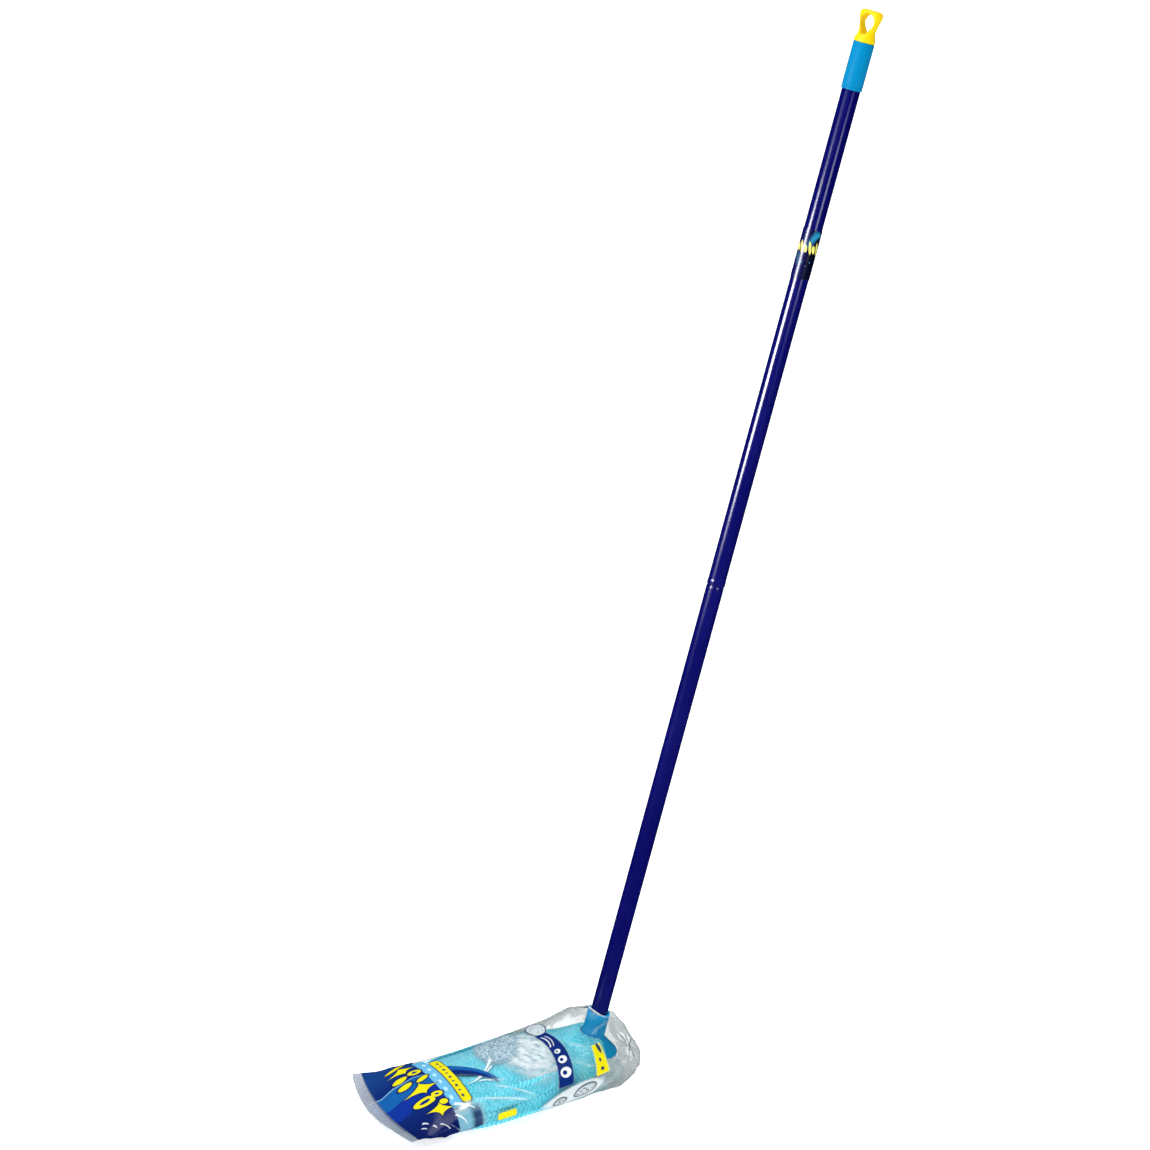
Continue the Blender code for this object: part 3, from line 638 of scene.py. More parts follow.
def ribbed_piece(name, rows, count, wide, seed, shift, slant, mat):
    """A ribbon lofted through rows of points, with soft slanting ribs and closed ends."""
    points, at = curve_through(np.array(rows), count)
    normal = surface_normals(points)
    drift = np.array([noise.noise(Vector((x * 22.0, seed, 0.0))) for x in at])[:, None]
    phase = at[:, None] / RIB_PITCH + slant * wide[None, :] + 1.3 * drift + shift
    ribs = np.abs(np.sin(math.pi * phase)) ** 0.9
    tuck = np.minimum(at / 0.012, 1.0) * np.minimum((at[-1] - at) / 0.004, 1.0)
    points = points + normal * (RIB_HEIGHT * (ribs - 0.7 + 0.5 * drift) * tuck[:, None])[..., None]
    points = np.concatenate([shrunk(points[:1], 0.02), points, shrunk(points[-1:], 0.6), shrunk(points[-1:], 0.02)])
    points[..., 2] = np.maximum(points[..., 2], RIBBON_FLOOR)
    ribbon = grid_mesh(name, points, True, BAG, mat)
    add_attribute(ribbon.data, "rib", np.concatenate([ribs[:1], ribs, ribs[-1:], ribs[-1:]]))
    return ribbon


def shrunk(row, share):
    """A row of points drawn in towards its middle."""
    centre = row.mean(axis=1, keepdims=True)
    return centre + (row - centre) * share


def add_attribute(mesh, name, values):
    attribute = mesh.attributes.new(name, "FLOAT", "POINT")
    attribute.data.foreach_set("value", values.astype(np.float32).ravel())


def make_strap(name, index, turn, start, rest, mat):
    """A ribbon that starts at the socket's skirt and lies along the bundle.

    turn is the direction it takes from the collar, in radians from along the bag towards the near side.
    start holds its stations about the handle's axis and rest its stations along the bag.
    """
    seed = 3.7 * index
    wide, deep = flat_section(STRAP_AROUND)
    to_bag = AXIS_TO_BAG.to_3x3()
    out = to_bag.inverted() @ Vector((math.cos(turn), math.sin(turn), 0.0))
    out = Vector((out.x, out.y, 0.0)).normalized()
    across_skirt = to_bag @ Vector((-out.y, out.x, 0.0))
    stations = [(AXIS_TO_BAG @ (out * radius + Vector((0.0, 0.0, z))), across_skirt, half_width)
                for radius, z, half_width in start]
    lean = min(max(turn, STRAP_LEAST_LEAN), STRAP_MOST_LEAN)
    for place, share, wide_here in rest:
        offset, half_width, low, high = film_size(place)
        half_width = (half_width - STRAP_SIDE_INSET) * share
        half_height = (high - STRAP_TOP_INSET - low) / 2 * share
        y, z = offset + half_width * math.sin(lean), low + half_height * (1 + math.cos(lean))
        side = Vector((0.0, half_width * math.cos(lean), -half_height * math.sin(lean))).normalized()
        stations.append((Vector((place + 0.004 * math.sin(seed), y, z)), side, wide_here))
    through = STRAP_THICK / 2 * (deep + STRAP_CROWN * (1 - wide ** 2) * (deep > 0))
    rows = []
    for k, (centre, side, half_width) in enumerate(stations):
        before = stations[max(k - 1, 0)][0]
        after = stations[min(k + 1, len(stations) - 1)][0]
        up = (after - before).normalized().cross(side).normalized()
        inwards = up.dot(centre - Vector((centre.x, 0.0, 0.03))) < 0
        up = -up if inwards or up.z < 0 and k < 4 else up
        rows.append(np.array(centre) + np.outer(half_width * wide, side) + np.outer(through, up))
    return ribbed_piece(name, rows, STRAP_ALONG, wide, seed, 0.31 * index, STRAP_SLANT, mat)


# ---------------------------------------------------------------- bag film

LONG_FOLDS = (  # across the printed face: start, end, height, width, how white its line is, as stress whitening and painted highlight together
    ((0.198, 0.061), (0.118, 0.090), 0.0020, 0.0026, 0.9),
    ((0.166, 0.050), (0.112, 0.088), 0.0018, 0.0024, 0.8),
    ((0.176, 0.036), (0.140, 0.052), 0.0012, 0.0020, 0.6),
    ((0.112, 0.070), (0.078, 0.052), 0.0010, 0.0024, 0.45),
    ((0.236, 0.086), (0.214, 0.104), 0.0018, 0.0022, 0.9),
    ((0.246, 0.100), (0.228, 0.120), 0.0016, 0.0022, 0.5),
    ((0.052, 0.034), (0.034, 0.052), 0.0010, 0.0022, 0.6),
    ((0.060, 0.060), (0.020, 0.086), 0.0014, 0.0030, 0.35),
)
SEAL_FOLDS, SEAL_FOLD_START, SEAL_FOLD_SPREAD = 14, 0.281, 0.32
SLACK_FOLDS = (26, (-0.056, -0.17), (0.075, 0.34), (0.024, 0.040), (0.0010, 0.0022), 0.0045, 0.35)
SMALL_FOLDS = (34, (0.02, -0.16), (0.25, 0.32), (0.012, 0.026), (0.0003, 0.0007), 0.0026, 0.30)
CREASE_GLINT_WIDTH = 0.00075  # of a fold's line that is whitened and carries a painted highlight


def film_surface(place, angle):
    """The smooth bag at a place along it and an angle round it, as arrays of the same shape."""
    offset, half_width, low, high = film_size(place)
    height = high - low
    middle = FILM_MIDDLE * height
    reach = np.where(np.sin(angle) > 0, height - middle, FILM_BELLY * height)
    level = np.maximum(middle + reach * np.sin(angle), 0.0)
    share = np.clip((place - SEAL_START) / (FILM_END - SEAL_START), 0.0, None) * np.sin(angle) ** 2
    return np.stack([place + SEAL_BOW * share, offset + half_width * np.cos(angle),
                     low + level - SEAL_SAG * share], axis=-1)


def fold(s, v, start, end, height, width):
    """A sharp straight fold from start to end on the film, as a height at each point."""
    start, end = np.array(start), np.array(end)
    length = np.linalg.norm(end - start)
    d = (end - start) / length
    along = (s - start[0]) * d[0] + (v - start[1]) * d[1]
    off = np.abs(-(s - start[0]) * d[1] + (v - start[1]) * d[0])
    window = np.clip(np.minimum(along, length - along) / (0.3 * length), 0.0, 1.0)
    window = window * window * (3 - 2 * window)
    return height * window * np.exp(-off / width)


def film_folds(s, v):
    """Heights of the film's folds, and how white each point is along a sharp fold: partly stress whitening and partly
    a painted highlight.
    """
    rng = np.random.default_rng(11)
    lift = np.zeros_like(s)
    crease_glint = np.zeros_like(s)

    def add(start, end, height, width, white):
        lift[...] += fold(s, v, start, end, height, width)
        crease_glint[...] = np.maximum(crease_glint, fold(s, v, start, end, white, CREASE_GLINT_WIDTH))

    def scatter(count, corner, area, lengths, heights, width, white):
        """Folds at random; lengths and heights are a least value and the range above it."""
        for _ in range(count):
            start = np.array((corner[0] + area[0] * rng.random(), corner[1] + area[1] * rng.random()))
            angle = 2 * math.pi * rng.random()
            length = lengths[0] + lengths[1] * rng.random()
            height = heights[0] + heights[1] * rng.random()
            sign = 1 if rng.random() > 0.5 else -1
            end = start + length * np.array((math.cos(angle), math.sin(angle)))
            add(start, end, sign * height, width, white * rng.random())

    for row in LONG_FOLDS:
        add(*row)
    for i in range(SEAL_FOLDS):  # from the seal towards the strips
        across = SEAL_FOLD_SPREAD * ((i + 0.5 * rng.random()) / SEAL_FOLDS - 0.5)
        length = 0.020 + 0.040 * rng.random()
        slant = 0.012 * (rng.random() - 0.5)
        height = 0.0004 + 0.0010 * rng.random()
        sign = 1 if rng.random() > 0.4 else -1
        add((SEAL_FOLD_START, across), (SEAL_FOLD_START - length, 0.96 * across + slant), sign * height, 0.0030, 0.25)
    scatter(*SLACK_FOLDS)  # behind and beside the socket
    scatter(*SMALL_FOLDS)  # over the strips
    return lift, np.clip(crease_glint, 0.0, 1.0)


def neck_on_film():
    """Where the handle's axis meets the bag's top, as a place along it and a distance from its top line."""
    crossings = []
    for height in np.linspace(-0.03, 0.02, 401):
        point = AXIS_TO_BAG @ Vector((0.0, 0.0, height))
        offset, half_width, _, high = film_size(point.x)
        across = (point.y - offset) / half_width
        up = (point.z - FILM_MIDDLE * high) / ((1 - FILM_MIDDLE) * high)
        crossings.append((abs(across ** 2 + up ** 2 - 1), point.x, point.y - offset))
    return min(crossings)[1:]


NECK_AT = neck_on_film()


def rising(value, start, width):
    """0 up to start and 1 from start + width, with even steps between."""
    return np.clip((value - start) / width, 0.0, 1.0)


def with_end(values):
    """Rows of the film's values, with the first repeated for the rings that close its far end."""
    return np.concatenate([np.repeat(values[:1], FILM_END_RINGS, axis=0), values])


def film_places():
    """Places along the film, distances round it from its top line, and the angles those distances stand at."""
    place = np.linspace(FILM_START, FILM_END, FILM_RINGS)
    dense = np.linspace(math.pi / 2 + math.pi, math.pi / 2 - math.pi, 721)
    s = np.repeat(place[:, None], FILM_SIDES, axis=1)
    v, angle = np.zeros_like(s), np.zeros_like(s)
    for row, x in enumerate(place):
        ring = film_surface(np.full_like(dense, x), dense)
        arc = np.concatenate([[0.0], np.cumsum(np.linalg.norm(np.diff(ring, axis=0), axis=1))])
        arc -= arc[len(arc) // 2]
        v[row] = np.linspace(arc[0], arc[-1], FILM_SIDES, endpoint=False)
        angle[row] = np.interp(v[row], arc, dense)
    return s, v, angle


def make_film(mat):
    """The bag: one skin with folds, drawn in round the collar, closed at its seal and at its far end."""
    flat_s, flat_v, angle = film_places()
    ds, dv = flat_s - NECK_AT[0], flat_v - NECK_AT[1]
    away = np.hypot(ds, dv)
    stretch = (NECK_REACH - NECK_R) / (NECK_REACH - NECK_CUT)
    drawn = np.where(away < NECK_REACH, NECK_R + (away - NECK_CUT) * stretch, away)
    inside = away < NECK_CUT
    drawn = np.where(dilated(inside), NECK_R, drawn)
    grow = drawn / np.maximum(away, 1e-6)
    s, v = NECK_AT[0] + ds * grow, NECK_AT[1] + dv * grow
    points = film_surface(s, angle + (v - flat_v) * np.gradient(angle, axis=1) / np.gradient(flat_v, axis=1))
    normal = surface_normals(points)
    lift, crease_glint = film_folds(s, v)
    slack = 1 - 0.85 * rising(s, 0.01, 0.05)
    crumple = np.array([facets(p) for p in points.reshape(-1, 3)]).reshape(s.shape)
    seal = 1 - 0.85 * rising(s, 0.255, 0.018)
    height = (FILM_CRUMPLE * crumple * slack + lift) * seal * (0.15 + 0.85 * rising(drawn, NECK_R, 0.010))
    points = points + normal * height[..., None]
    climb = (NECK_RISE + NECK_TILT * ds / np.maximum(away, 1e-6)) * (1 - rising(drawn, NECK_R, 0.018)) ** 2
    points = points + climb[..., None] * np.array(AXIS_TO_BAG.to_3x3() @ Vector((0.0, 0.0, 1.0)))
    points = np.concatenate([closing_rings(points[:1]), points])
    points[..., 2] = np.maximum(points[..., 2], FILM_LIFT)
    behind = 1 - rising(s, 0.006, 0.034)
    beside = rising(-v, 0.012, 0.022) * (1 - rising(s, 0.095, 0.030))
    looks = {
        # whitened creases with a painted highlight along them, and a painted highlight round the opening's rim
        "crease_glint": np.maximum(crease_glint, 1 - rising(drawn, NECK_R, 0.0016)),
        # painted shade: the slack film behind and beside the socket greyed
        "slack_shade": np.maximum(0.66 * behind, beside) * rising(drawn, NECK_R, 0.012),
        "taut": 1 - rising(drawn, NECK_R + 0.010, 0.006)}
    film = grid_mesh("printed_bag", points, True, BAG, mat)
    for name, values in looks.items():
        add_attribute(film.data, name, with_end(values))
    s, v = with_end(s), with_end(v)
    s[:FILM_END_RINGS] -= 0.002 * np.arange(FILM_END_RINGS, 0, -1)[:, None]
    finish_film(film.data, s, v, with_end(inside))
    return film


def facets(point):
    """Crumpled film: ridges between flatter faces, from 1 on a ridge to about -1."""
    p = Vector(point)
    return 0.6 - 2 * abs(noise.noise(p * 21.0)) - 0.3 * abs(noise.noise(p * 60.0))


def dilated(mask):
    """The mask and the points beside it, round the end of each row too."""
    wider = mask | np.roll(mask, 1, axis=1) | np.roll(mask, -1, axis=1)
    out = wider.copy()
    out[1:] |= wider[:-1]
    out[:-1] |= wider[1:]
    return out


def closing_rings(first):
    """Rings that shrink from the bag's first section to a tuck in the middle of its end, with pleats."""
    angle = math.pi / 2 - np.linspace(math.pi, -math.pi, FILM_SIDES, endpoint=False)
    centre = first.mean(axis=1, keepdims=True)
    rings = []
    for i in range(FILM_END_RINGS, 0, -1):
        shrink = 1 - 0.97 * (i / FILM_END_RINGS) ** 1.2
        ring = centre + (first - centre) * np.array((1.0, shrink, shrink))
        pleat = END_PLEAT * np.sin(END_PLEATS * angle + 1.5 * shrink) * shrink * (1 - shrink) * 4
        ring[..., 0] -= END_BULGE * math.sin(math.pi / 2 * (1 - shrink)) - pleat
        rings.append(ring)
    return np.concatenate(rings)


def pair_faces(start):
    """Quads that close a flattened ring of the film: each point of one layer joins the one that faces it."""
    half, quarter = FILM_SIDES // 2, FILM_SIDES // 4
    faces = [(k, k + 1, half - k - 1, half - k) for k in range(quarter)]
    faces += [(half + k, half + k + 1, FILM_SIDES - k - 1, (FILM_SIDES - k) % FILM_SIDES) for k in range(quarter)]
    return [[start + i for i in dict.fromkeys(face)] for face in faces]


def finish_film(mesh, s, v, inside):
    """UVs in metres, the closed ends and the opening round the collar."""
    s, v = s.ravel(), v.ravel()
    vertex = np.zeros(len(mesh.loops), np.int32)
    mesh.loops.foreach_get("vertex_index", vertex)
    face_v = v[vertex].reshape(-1, 4)
    wraps = np.ptp(face_v, axis=1) > 0.1  # the faces across the join under the bag
    face_v = np.where(wraps[:, None], np.abs(face_v), face_v).ravel()
    uv = mesh.uv_layers.new(name="print")
    uv.data.foreach_set("uv", np.stack([s[vertex], face_v], axis=-1).astype(np.float32).ravel())
    bm = bmesh.new()
    bm.from_mesh(mesh)
    layer = bm.loops.layers.uv["print"]
    bm.verts.ensure_lookup_table()
    for start in (0, len(s) - FILM_SIDES):
        for indices in pair_faces(start):
            face = bm.faces.new([bm.verts[i] for i in indices])
            for loop in face.loops:
                loop[layer].uv = (s[loop.vert.index], v[loop.vert.index])
    opening = [bm.verts[i] for i in np.flatnonzero(inside.ravel())]
    bmesh.ops.delete(bm, geom=opening, context="VERTS")
    bmesh.ops.recalc_face_normals(bm, faces=bm.faces)
    bm.to_mesh(mesh)
    bm.free()
    mesh.shade_smooth()


# ---------------------------------------------------------------- materials

def plastic(name, colour, dark, light, roughness, mottle=0.25, gloss=0.5):
    """Moulded plastic: slight flow marks in its colour, a fine skin texture and scuffs in its gloss."""
    mat, g = new_material(name)
    at = g.coordinates()
    flow = g.noise(g.mapped(at, scale=(1, 1, 3)), 60.0, 4.0, 0.6, 0.6)
    grain = g.noise(at, 1800.0)
    patches = g.noise(at, 25.0, 3.0, 0.6)
    colour = g.mix(g.steps(flow, 0.30, 0.55, 0.0, mottle), colour, dark)
    colour = g.mix(g.steps(patches, 0.50, 0.75, 0.0, mottle), colour, light)
    scuff = g.noise(g.mapped(at, scale=(1, 1, 8)), 700.0, 2.0, 0.7)
    g.set(Base_Color=colour, Roughness=g.steps(scuff, 0.35, 0.75, roughness - 0.06, roughness + 0.08),
          Normal=g.bump(g.plus(g.times(grain, 0.5), flow), 0.00006, 0.6), Specular_IOR_Level=gloss)
    return mat


def tube_material():
    """Navy powder-coated steel: orange peel, faint drawing lines along the tube, and scuffed patches."""
    mat, g = new_material("navy_coating")
    at = g.coordinates()
    peel = g.noise(at, 420.0, 3.0, 0.55)
    draw = g.noise(g.mapped(at, scale=(1, 1, 60)), 900.0)
    patches = g.noise(g.mapped(at, scale=(1, 1, 5)), 30.0, 4.0, 0.6)
    z = g.axes(at)[2]
    near_joint = g.minus(1.0, g.steps(g.math("ABSOLUTE", g.minus(z, JOINT_Z)), 0.0, 0.012))
    near_foot = g.minus(1.0, g.steps(z, -0.004, 0.010))
    worn = g.times(g.steps(g.noise(at, 700.0, 3.0, 0.7), 0.56, 0.66), g.math("MAXIMUM", near_joint, near_foot))
    colour = g.mix(g.steps(patches, 0.35, 0.70), (0.0002, 0.0006, 0.092), (0.0006, 0.0012, 0.115))
    colour = g.mix(g.times(worn, 0.35), colour, (0.05, 0.06, 0.20))
    g.set(Base_Color=colour, Roughness=g.steps(patches, 0.3, 0.8, 0.15, 0.22), Specular_IOR_Level=0.5,
          Normal=g.bump(g.plus(peel, g.times(draw, 0.35)), 0.00005, 0.5))
    return mat


def fibre_material(name, deep, bright, tip_and_highlight):
    """Microfibre pile: clumps of fibres, a painted highlight on the rib crests and painted shade in the valleys
    between them, with a soft sheen.
    """
    mat, g = new_material(name)
    at = g.coordinates()
    clumps = g.noise(at, 260.0, 3.0, 0.65, 0.4)
    tone = g.noise(at, 35.0, 3.0, 0.6)
    fuzz = g.noise(at, 2200.0, 3.0, 0.7)
    rib = g.attribute("rib")
    colour = g.mix(g.steps(clumps, 0.35, 0.65), deep, bright)
    colour = g.mix(g.steps(tone, 0.45, 0.70, 0.0, 0.55), colour, tip_and_highlight)
    # painted highlight: the crests of the ribs lightened towards the tip colour
    colour = g.mix(g.times(g.steps(rib, 0.45, 1.0), g.steps(clumps, 0.30, 0.60, 0.2, 0.8)), colour, tip_and_highlight)
    # painted shade: the valleys between the ribs darkened towards the deep colour
    colour = g.mix(g.steps(rib, 0.0, 0.40, 0.6, 0.0), colour, deep)
    g.set(Base_Color=colour, Roughness=0.95, Specular_IOR_Level=0.15, Sheen_Weight=0.35, Sheen_Roughness=0.5,
          Normal=g.bump(g.plus(g.times(clumps, 0.7), g.times(fuzz, 0.5)), 0.0007, 0.8))
    return mat


class Print:
    """Ink laid down shape by shape on a flat place: its colour and how much it covers.

    The shapes are 1 inside and 0 outside, with a soft edge.
    """

    def __init__(self, g, at, colour):
        self.g, self.at, self.colour, self.cover = g, at, colour, 0.0

    def lay(self, masks, colour, strength=1.0):
        """Lays one shape, or several as one."""
        g = self.g
        mask, *others = masks if isinstance(masks, list) else [masks]
        for other in others:
            mask = g.math("MAXIMUM", mask, other)
        mask = mask if strength == 1.0 else g.times(mask, strength)
        self.colour = g.mix(mask, self.colour, colour)
        self.cover = g.math("MAXIMUM", self.cover, mask)

    def settle(self):
        """Adds a trace of the colour so far to the place, so that Cycles finishes one part of the print before
        it starts the next: all the parts at once don't fit in its memory for a shader."""
        trace = self.g.vector("MULTIPLY", self.colour, (1e-9, 1e-9, 1e-9))
        self.at = self.g.vector("ADD", self.at, trace)

    def seen_from(self, centre, turn=0.0, scale=(1, 1)):
        """The place in a turned and scaled frame."""
        return self.g.mapped(self.at, (*centre, 0), turn, (*scale, 1))

    def oval(self, centre, radii, turn=0.0, soft=SOFT):
        rim = soft / min(radii)
        away = self.g.vector("LENGTH", self.seen_from(centre, turn, radii))
        return self.g.steps(away, 1.0 - rim, 1.0 + rim, 1.0, 0.0)

    def box(self, centre, half, turn, corner):
        """A box with round corners."""
        g = self.g
        local = g.vector("ABSOLUTE", self.seen_from(centre, turn))
        out = g.vector("MAXIMUM", g.vector("SUBTRACT", local, (half[0] - corner, half[1] - corner, 1.0)), (0, 0, 0))
        return g.steps(g.vector("LENGTH", out), corner, corner + SOFT, 1.0, 0.0)

    def sparkle(self, centre, half, turn):
        """A four-pointed star with hollow sides."""
        g = self.g
        x, y, _ = g.axes(g.vector("ABSOLUTE", self.seen_from(centre, turn, half)))
        reach = g.plus(g.math("POWER", x, STAR_POWER), g.math("POWER", y, STAR_POWER))
        return g.steps(reach, 1.0 - STAR_SOFT, 1.0 + STAR_SOFT, 1.0, 0.0)

    def swoosh(self, start, end, from_half, to_half, bend=0.0, soft=0.0008):
        """A band from start to end whose half width changes evenly, bowed sideways by bend."""
        g = self.g
        dx, dy = end[0] - start[0], end[1] - start[1]
        length = math.hypot(dx, dy)
        x, y, _ = g.axes(self.seen_from(start, math.atan2(dy, dx)))
        t = g.math("DIVIDE", x, length)
        bow = g.times(g.times(t, g.minus(1.0, t)), 4 * bend)
        off = g.math("ABSOLUTE", g.minus(y, bow))
        half = g.plus(g.times(t, to_half - from_half), from_half)
        side = g.steps(g.minus(off, half), -soft, soft, 1.0, 0.0)
        return g.times(side, g.times(g.steps(x, 0.0, soft), g.steps(x, length - soft, length, 1.0, 0.0)))


def label_material():
    """Printed sleeve: a near-black panel with a blue wave and plain yellow drops and dots."""
    mat, g = new_material("sleeve_print")
    x, y, z = g.axes(g.coordinates())
    turn = g.minus(g.math("ARCTAN2", y, x), LABEL_FACING)
    up = g.minus(z, LABEL_BOTTOM)
    across = g.times(turn, TUBE_R)
    height = LABEL_TOP - LABEL_BOTTOM
    panel = g.mix(g.steps(up, 0.0, height), (0.0010, 0.0015, 0.020), (0.0006, 0.0010, 0.006))
    ink = Print(g, g.call("ShaderNodeCombineXYZ", 0, {"X": across, "Y": up}), panel)
    ink.lay(g.steps(across, -0.006, 0.003, 1.0, 0.0), (0.0010, 0.0012, 0.085))
    ink.lay(ink.swoosh((-0.001, height - 0.022), (0.009, height - 0.001), 0.0030, 0.0055, 0.002), (0.004, 0.085, 0.22))
    ink.lay(ink.swoosh((0.001, height - 0.014), (0.010, height - 0.004), 0.0012, 0.0034, 0.002), (0.006, 0.23, 0.42))
    ink.lay(ink.oval((-0.0105, 0.0235), (0.0022, 0.0075), 0.1, 0.001), (0.03, 0.09, 0.19))
    for *centre, long, wide in LABEL_DROPS:
        ink.lay(ink.oval(centre, (long, wide), 0.22, 0.0003), (0.94, 0.84, 0.16))
    for *centre, r in ((-0.004, 0.020, 0.0010), (0.001, 0.016, 0.0007), (0.005, 0.021, 0.0008)):
        ink.lay(ink.oval(centre, (r, r), 0.0, 0.0002), (0.02, 0.16, 0.34))
    wear = g.noise(g.coordinates(), 900.0, 3.0, 0.7)
    g.set(Base_Color=ink.colour, Roughness=g.steps(wear, 0.4, 0.7, 0.22, 0.34), Specular_IOR_Level=0.35,
          Normal=g.bump(wear, 0.00003, 0.5))
    return mat


def lay_print(g, at):
    """The bag's printing, in metres along the bag and round it from its top line to the near side."""
    ink = Print(g, at, (0.5, 0.6, 0.65))
    wobble = g.noise(at, 30.0)
    # picture of clean white pile and a splash of water
    strands = g.noise(g.mapped(at, turn=0.6, scale=(1, 2.2, 1)), 150.0, 3.0, 0.6)
    pile = ink.oval((0.104, 0.015), (0.030, 0.052), 0.15, 0.012)
    ink.lay(g.times(pile, g.steps(strands, 0.25, 0.60, 0.35, 1.0)), WHITE, 0.85)
    splash = ink.oval((0.127, -0.022), (0.027, 0.044), -0.25, 0.006)
    cells = g.call("ShaderNodeTexVoronoi", "Distance", {"Vector": at, "Scale": 260.0}, feature="DISTANCE_TO_EDGE")
    ink.lay(splash, (0.09, 0.30, 0.46), 0.72)
    ink.lay(g.times(splash, g.steps(cells, 0.10, 0.30, 1.0, 0.0)), (0.55, 0.70, 0.76), 0.9)
    ink.lay(g.times(splash, g.steps(g.noise(at, 260.0, 3.0, 0.7, 1.5), 0.52, 0.60)), (0.010, 0.07, 0.20), 0.9)
    for start, end, wide in (((0.146, 0.004), (0.172, 0.032), 0.0026), ((0.150, 0.018), (0.180, 0.036), 0.0016),
                             ((0.168, 0.027), (0.190, 0.037), 0.0014), ((0.176, 0.038), (0.160, 0.046), 0.0010)):
        ink.lay(ink.swoosh(start, end, wide, 0.0005, 0.002), WHITE, 0.9)
    ink.settle()
    # swooshes that point into the picture
    ink.lay(ink.swoosh((0.204, -0.012), (0.152, 0.047), 0.0085, 0.0008, 0.006), BRIGHT_BLUE)
    ink.lay(ink.swoosh((0.202, 0.000), (0.153, 0.052), 0.0065, 0.0004, 0.006), NAVY)
    ink.settle()
    # dark field at the sealed end, its fading bands and its waves
    along, around, _ = g.axes(ink.at)
    field = g.steps(g.plus(along, g.times(wobble, 0.004)), 0.2225, 0.2245)
    fade = g.steps(around, 0.060, 0.084)
    stripe = g.times(g.steps(along, 0.186, 0.192), g.steps(along, 0.198, 0.206, 1.0, 0.0))
    ink.lay(g.times(fade, g.steps(along, 0.180, 0.196)), (0.10, 0.42, 0.60), 0.75)
    ink.lay(g.times(fade, stripe), DEEP_NAVY, 0.92)
    ink.lay(field, NAVY)
    ink.lay(g.times(field, g.steps(around, 0.030, 0.100)), DEEP_NAVY)
    ink.lay(g.times(field, g.steps(around, -0.020, -0.070)), (0.006, 0.045, 0.21))
    for start, end, wide, narrow, colour in (
            ((0.286, -0.002), (0.205, 0.004), 0.0170, 0.0130, BRIGHT_BLUE),
            ((0.286, -0.018), (0.220, -0.012), 0.0012, 0.0006, (0.20, 0.42, 0.62)),
            ((0.286, 0.030), (0.214, 0.034), 0.0160, 0.0130, (0.003, 0.028, 0.29))):
        ink.lay(g.times(field, ink.swoosh(start, end, wide, narrow, 0.004)), colour)
    ink.settle()
    # band of sky blue with a yellow bar on its edge
    ink.lay(ink.box((0.2165, 0.004), (0.0065, 0.064), 0.03, 0.002), SKY)
    ink.lay(ink.box((0.2020, 0.011), (0.0068, 0.054), 0.03, 0.0055), DEEP_NAVY)
    ink.lay(ink.box((0.2020, 0.011), (0.0056, 0.0528), 0.03, 0.0045), YELLOW)
    ink.lay([ink.oval((0.2025, -0.030 + 0.0103 * i), (0.0019, 0.0028 - 0.0012 * (i % 2))) for i in range(9)],
            DEEP_NAVY, 0.9)
    ink.lay([ink.oval((0.2165, -0.040 + 0.018 * i), (0.0022, 0.0044)) for i in range(6)], (0.42, 0.72, 0.90))
    ink.settle()
    # yellow sparkles, bubbles and drops on the dark field, each with a dark rim
    for swell, colour in ((0.0020, DEEP_NAVY), (0.0, YELLOW)):
        shapes = [ink.sparkle((centre, place), (1.1 * long + 2 * swell, 1.1 * wide + 2 * swell), turn)
                  for place, centre, long, wide, turn in SPARKLES]
        shapes += [ink.oval((centre, place), (1.15 * long + swell, 1.15 * wide + swell), turn)
                   for place, centre, long, wide, turn in BUBBLES]
        ink.lay(shapes, colour)
        ink.settle()
    ink.lay([ink.oval((centre, place), (long, wide), -0.1) for place, centre, long, wide in BUBBLE_HOLES], NAVY)
    ink.settle()
    # glint at the bar's near end
    ink.lay(ink.oval((0.207, 0.070), (0.010, 0.004), 0.3, 0.003), WHITE)
    ink.lay(ink.swoosh((0.218, 0.062), (0.196, 0.076), 0.0022, 0.0006, 0.002), WHITE)
    ink.lay(ink.swoosh((0.222, 0.078), (0.210, 0.094), 0.0016, 0.0003, 0.002), WHITE)
    ink.settle()
    along, around, _ = g.axes(ink.at)
    # painted highlights: white glints on the folds at the sealed end's near corner
    ink.lay([ink.swoosh(start, end, wide, 0.0004, 0.001) for start, end, wide in (
        ((0.2600, 0.072), (0.2545, 0.078), 0.0013), ((0.2640, 0.079), (0.2590, 0.084), 0.0010),
        ((0.2520, 0.082), (0.2490, 0.088), 0.0008), ((0.2440, 0.084), (0.2330, 0.094), 0.0006))], WHITE, 0.9)
    lay_badges(ink)
    # heat-sealed margin: no ink, but two welded layers that look grey
    margin = g.steps(along, 0.2758, 0.2768)
    ink.cover = g.times(ink.cover, g.minus(1.0, margin))
    weld = g.math("ABSOLUTE", g.math("SINE", g.times(along, 2100.0)))
    ink.lay(margin, (0.42, 0.48, 0.52), 0.46)
    ink.lay(g.times(margin, g.steps(around, -0.01, 0.09)), (0.15, 0.25, 0.34), 0.55)
    ink.lay(g.times(margin, g.steps(weld, 0.80, 0.97)), (0.80, 0.85, 0.88), 0.40)
    # painted highlight: a white line along the seal's edge on the near side
    ink.lay(g.times(g.steps(along, 0.2863, 0.2868), g.steps(around, 0.02, 0.06)), WHITE, 0.9)
    # a trace of the colour in the cover makes Cycles work both out together
    ink.cover = g.math("MULTIPLY_ADD", g.axes(ink.colour)[0], 1e-6, ink.cover, clamp=True)
    return ink


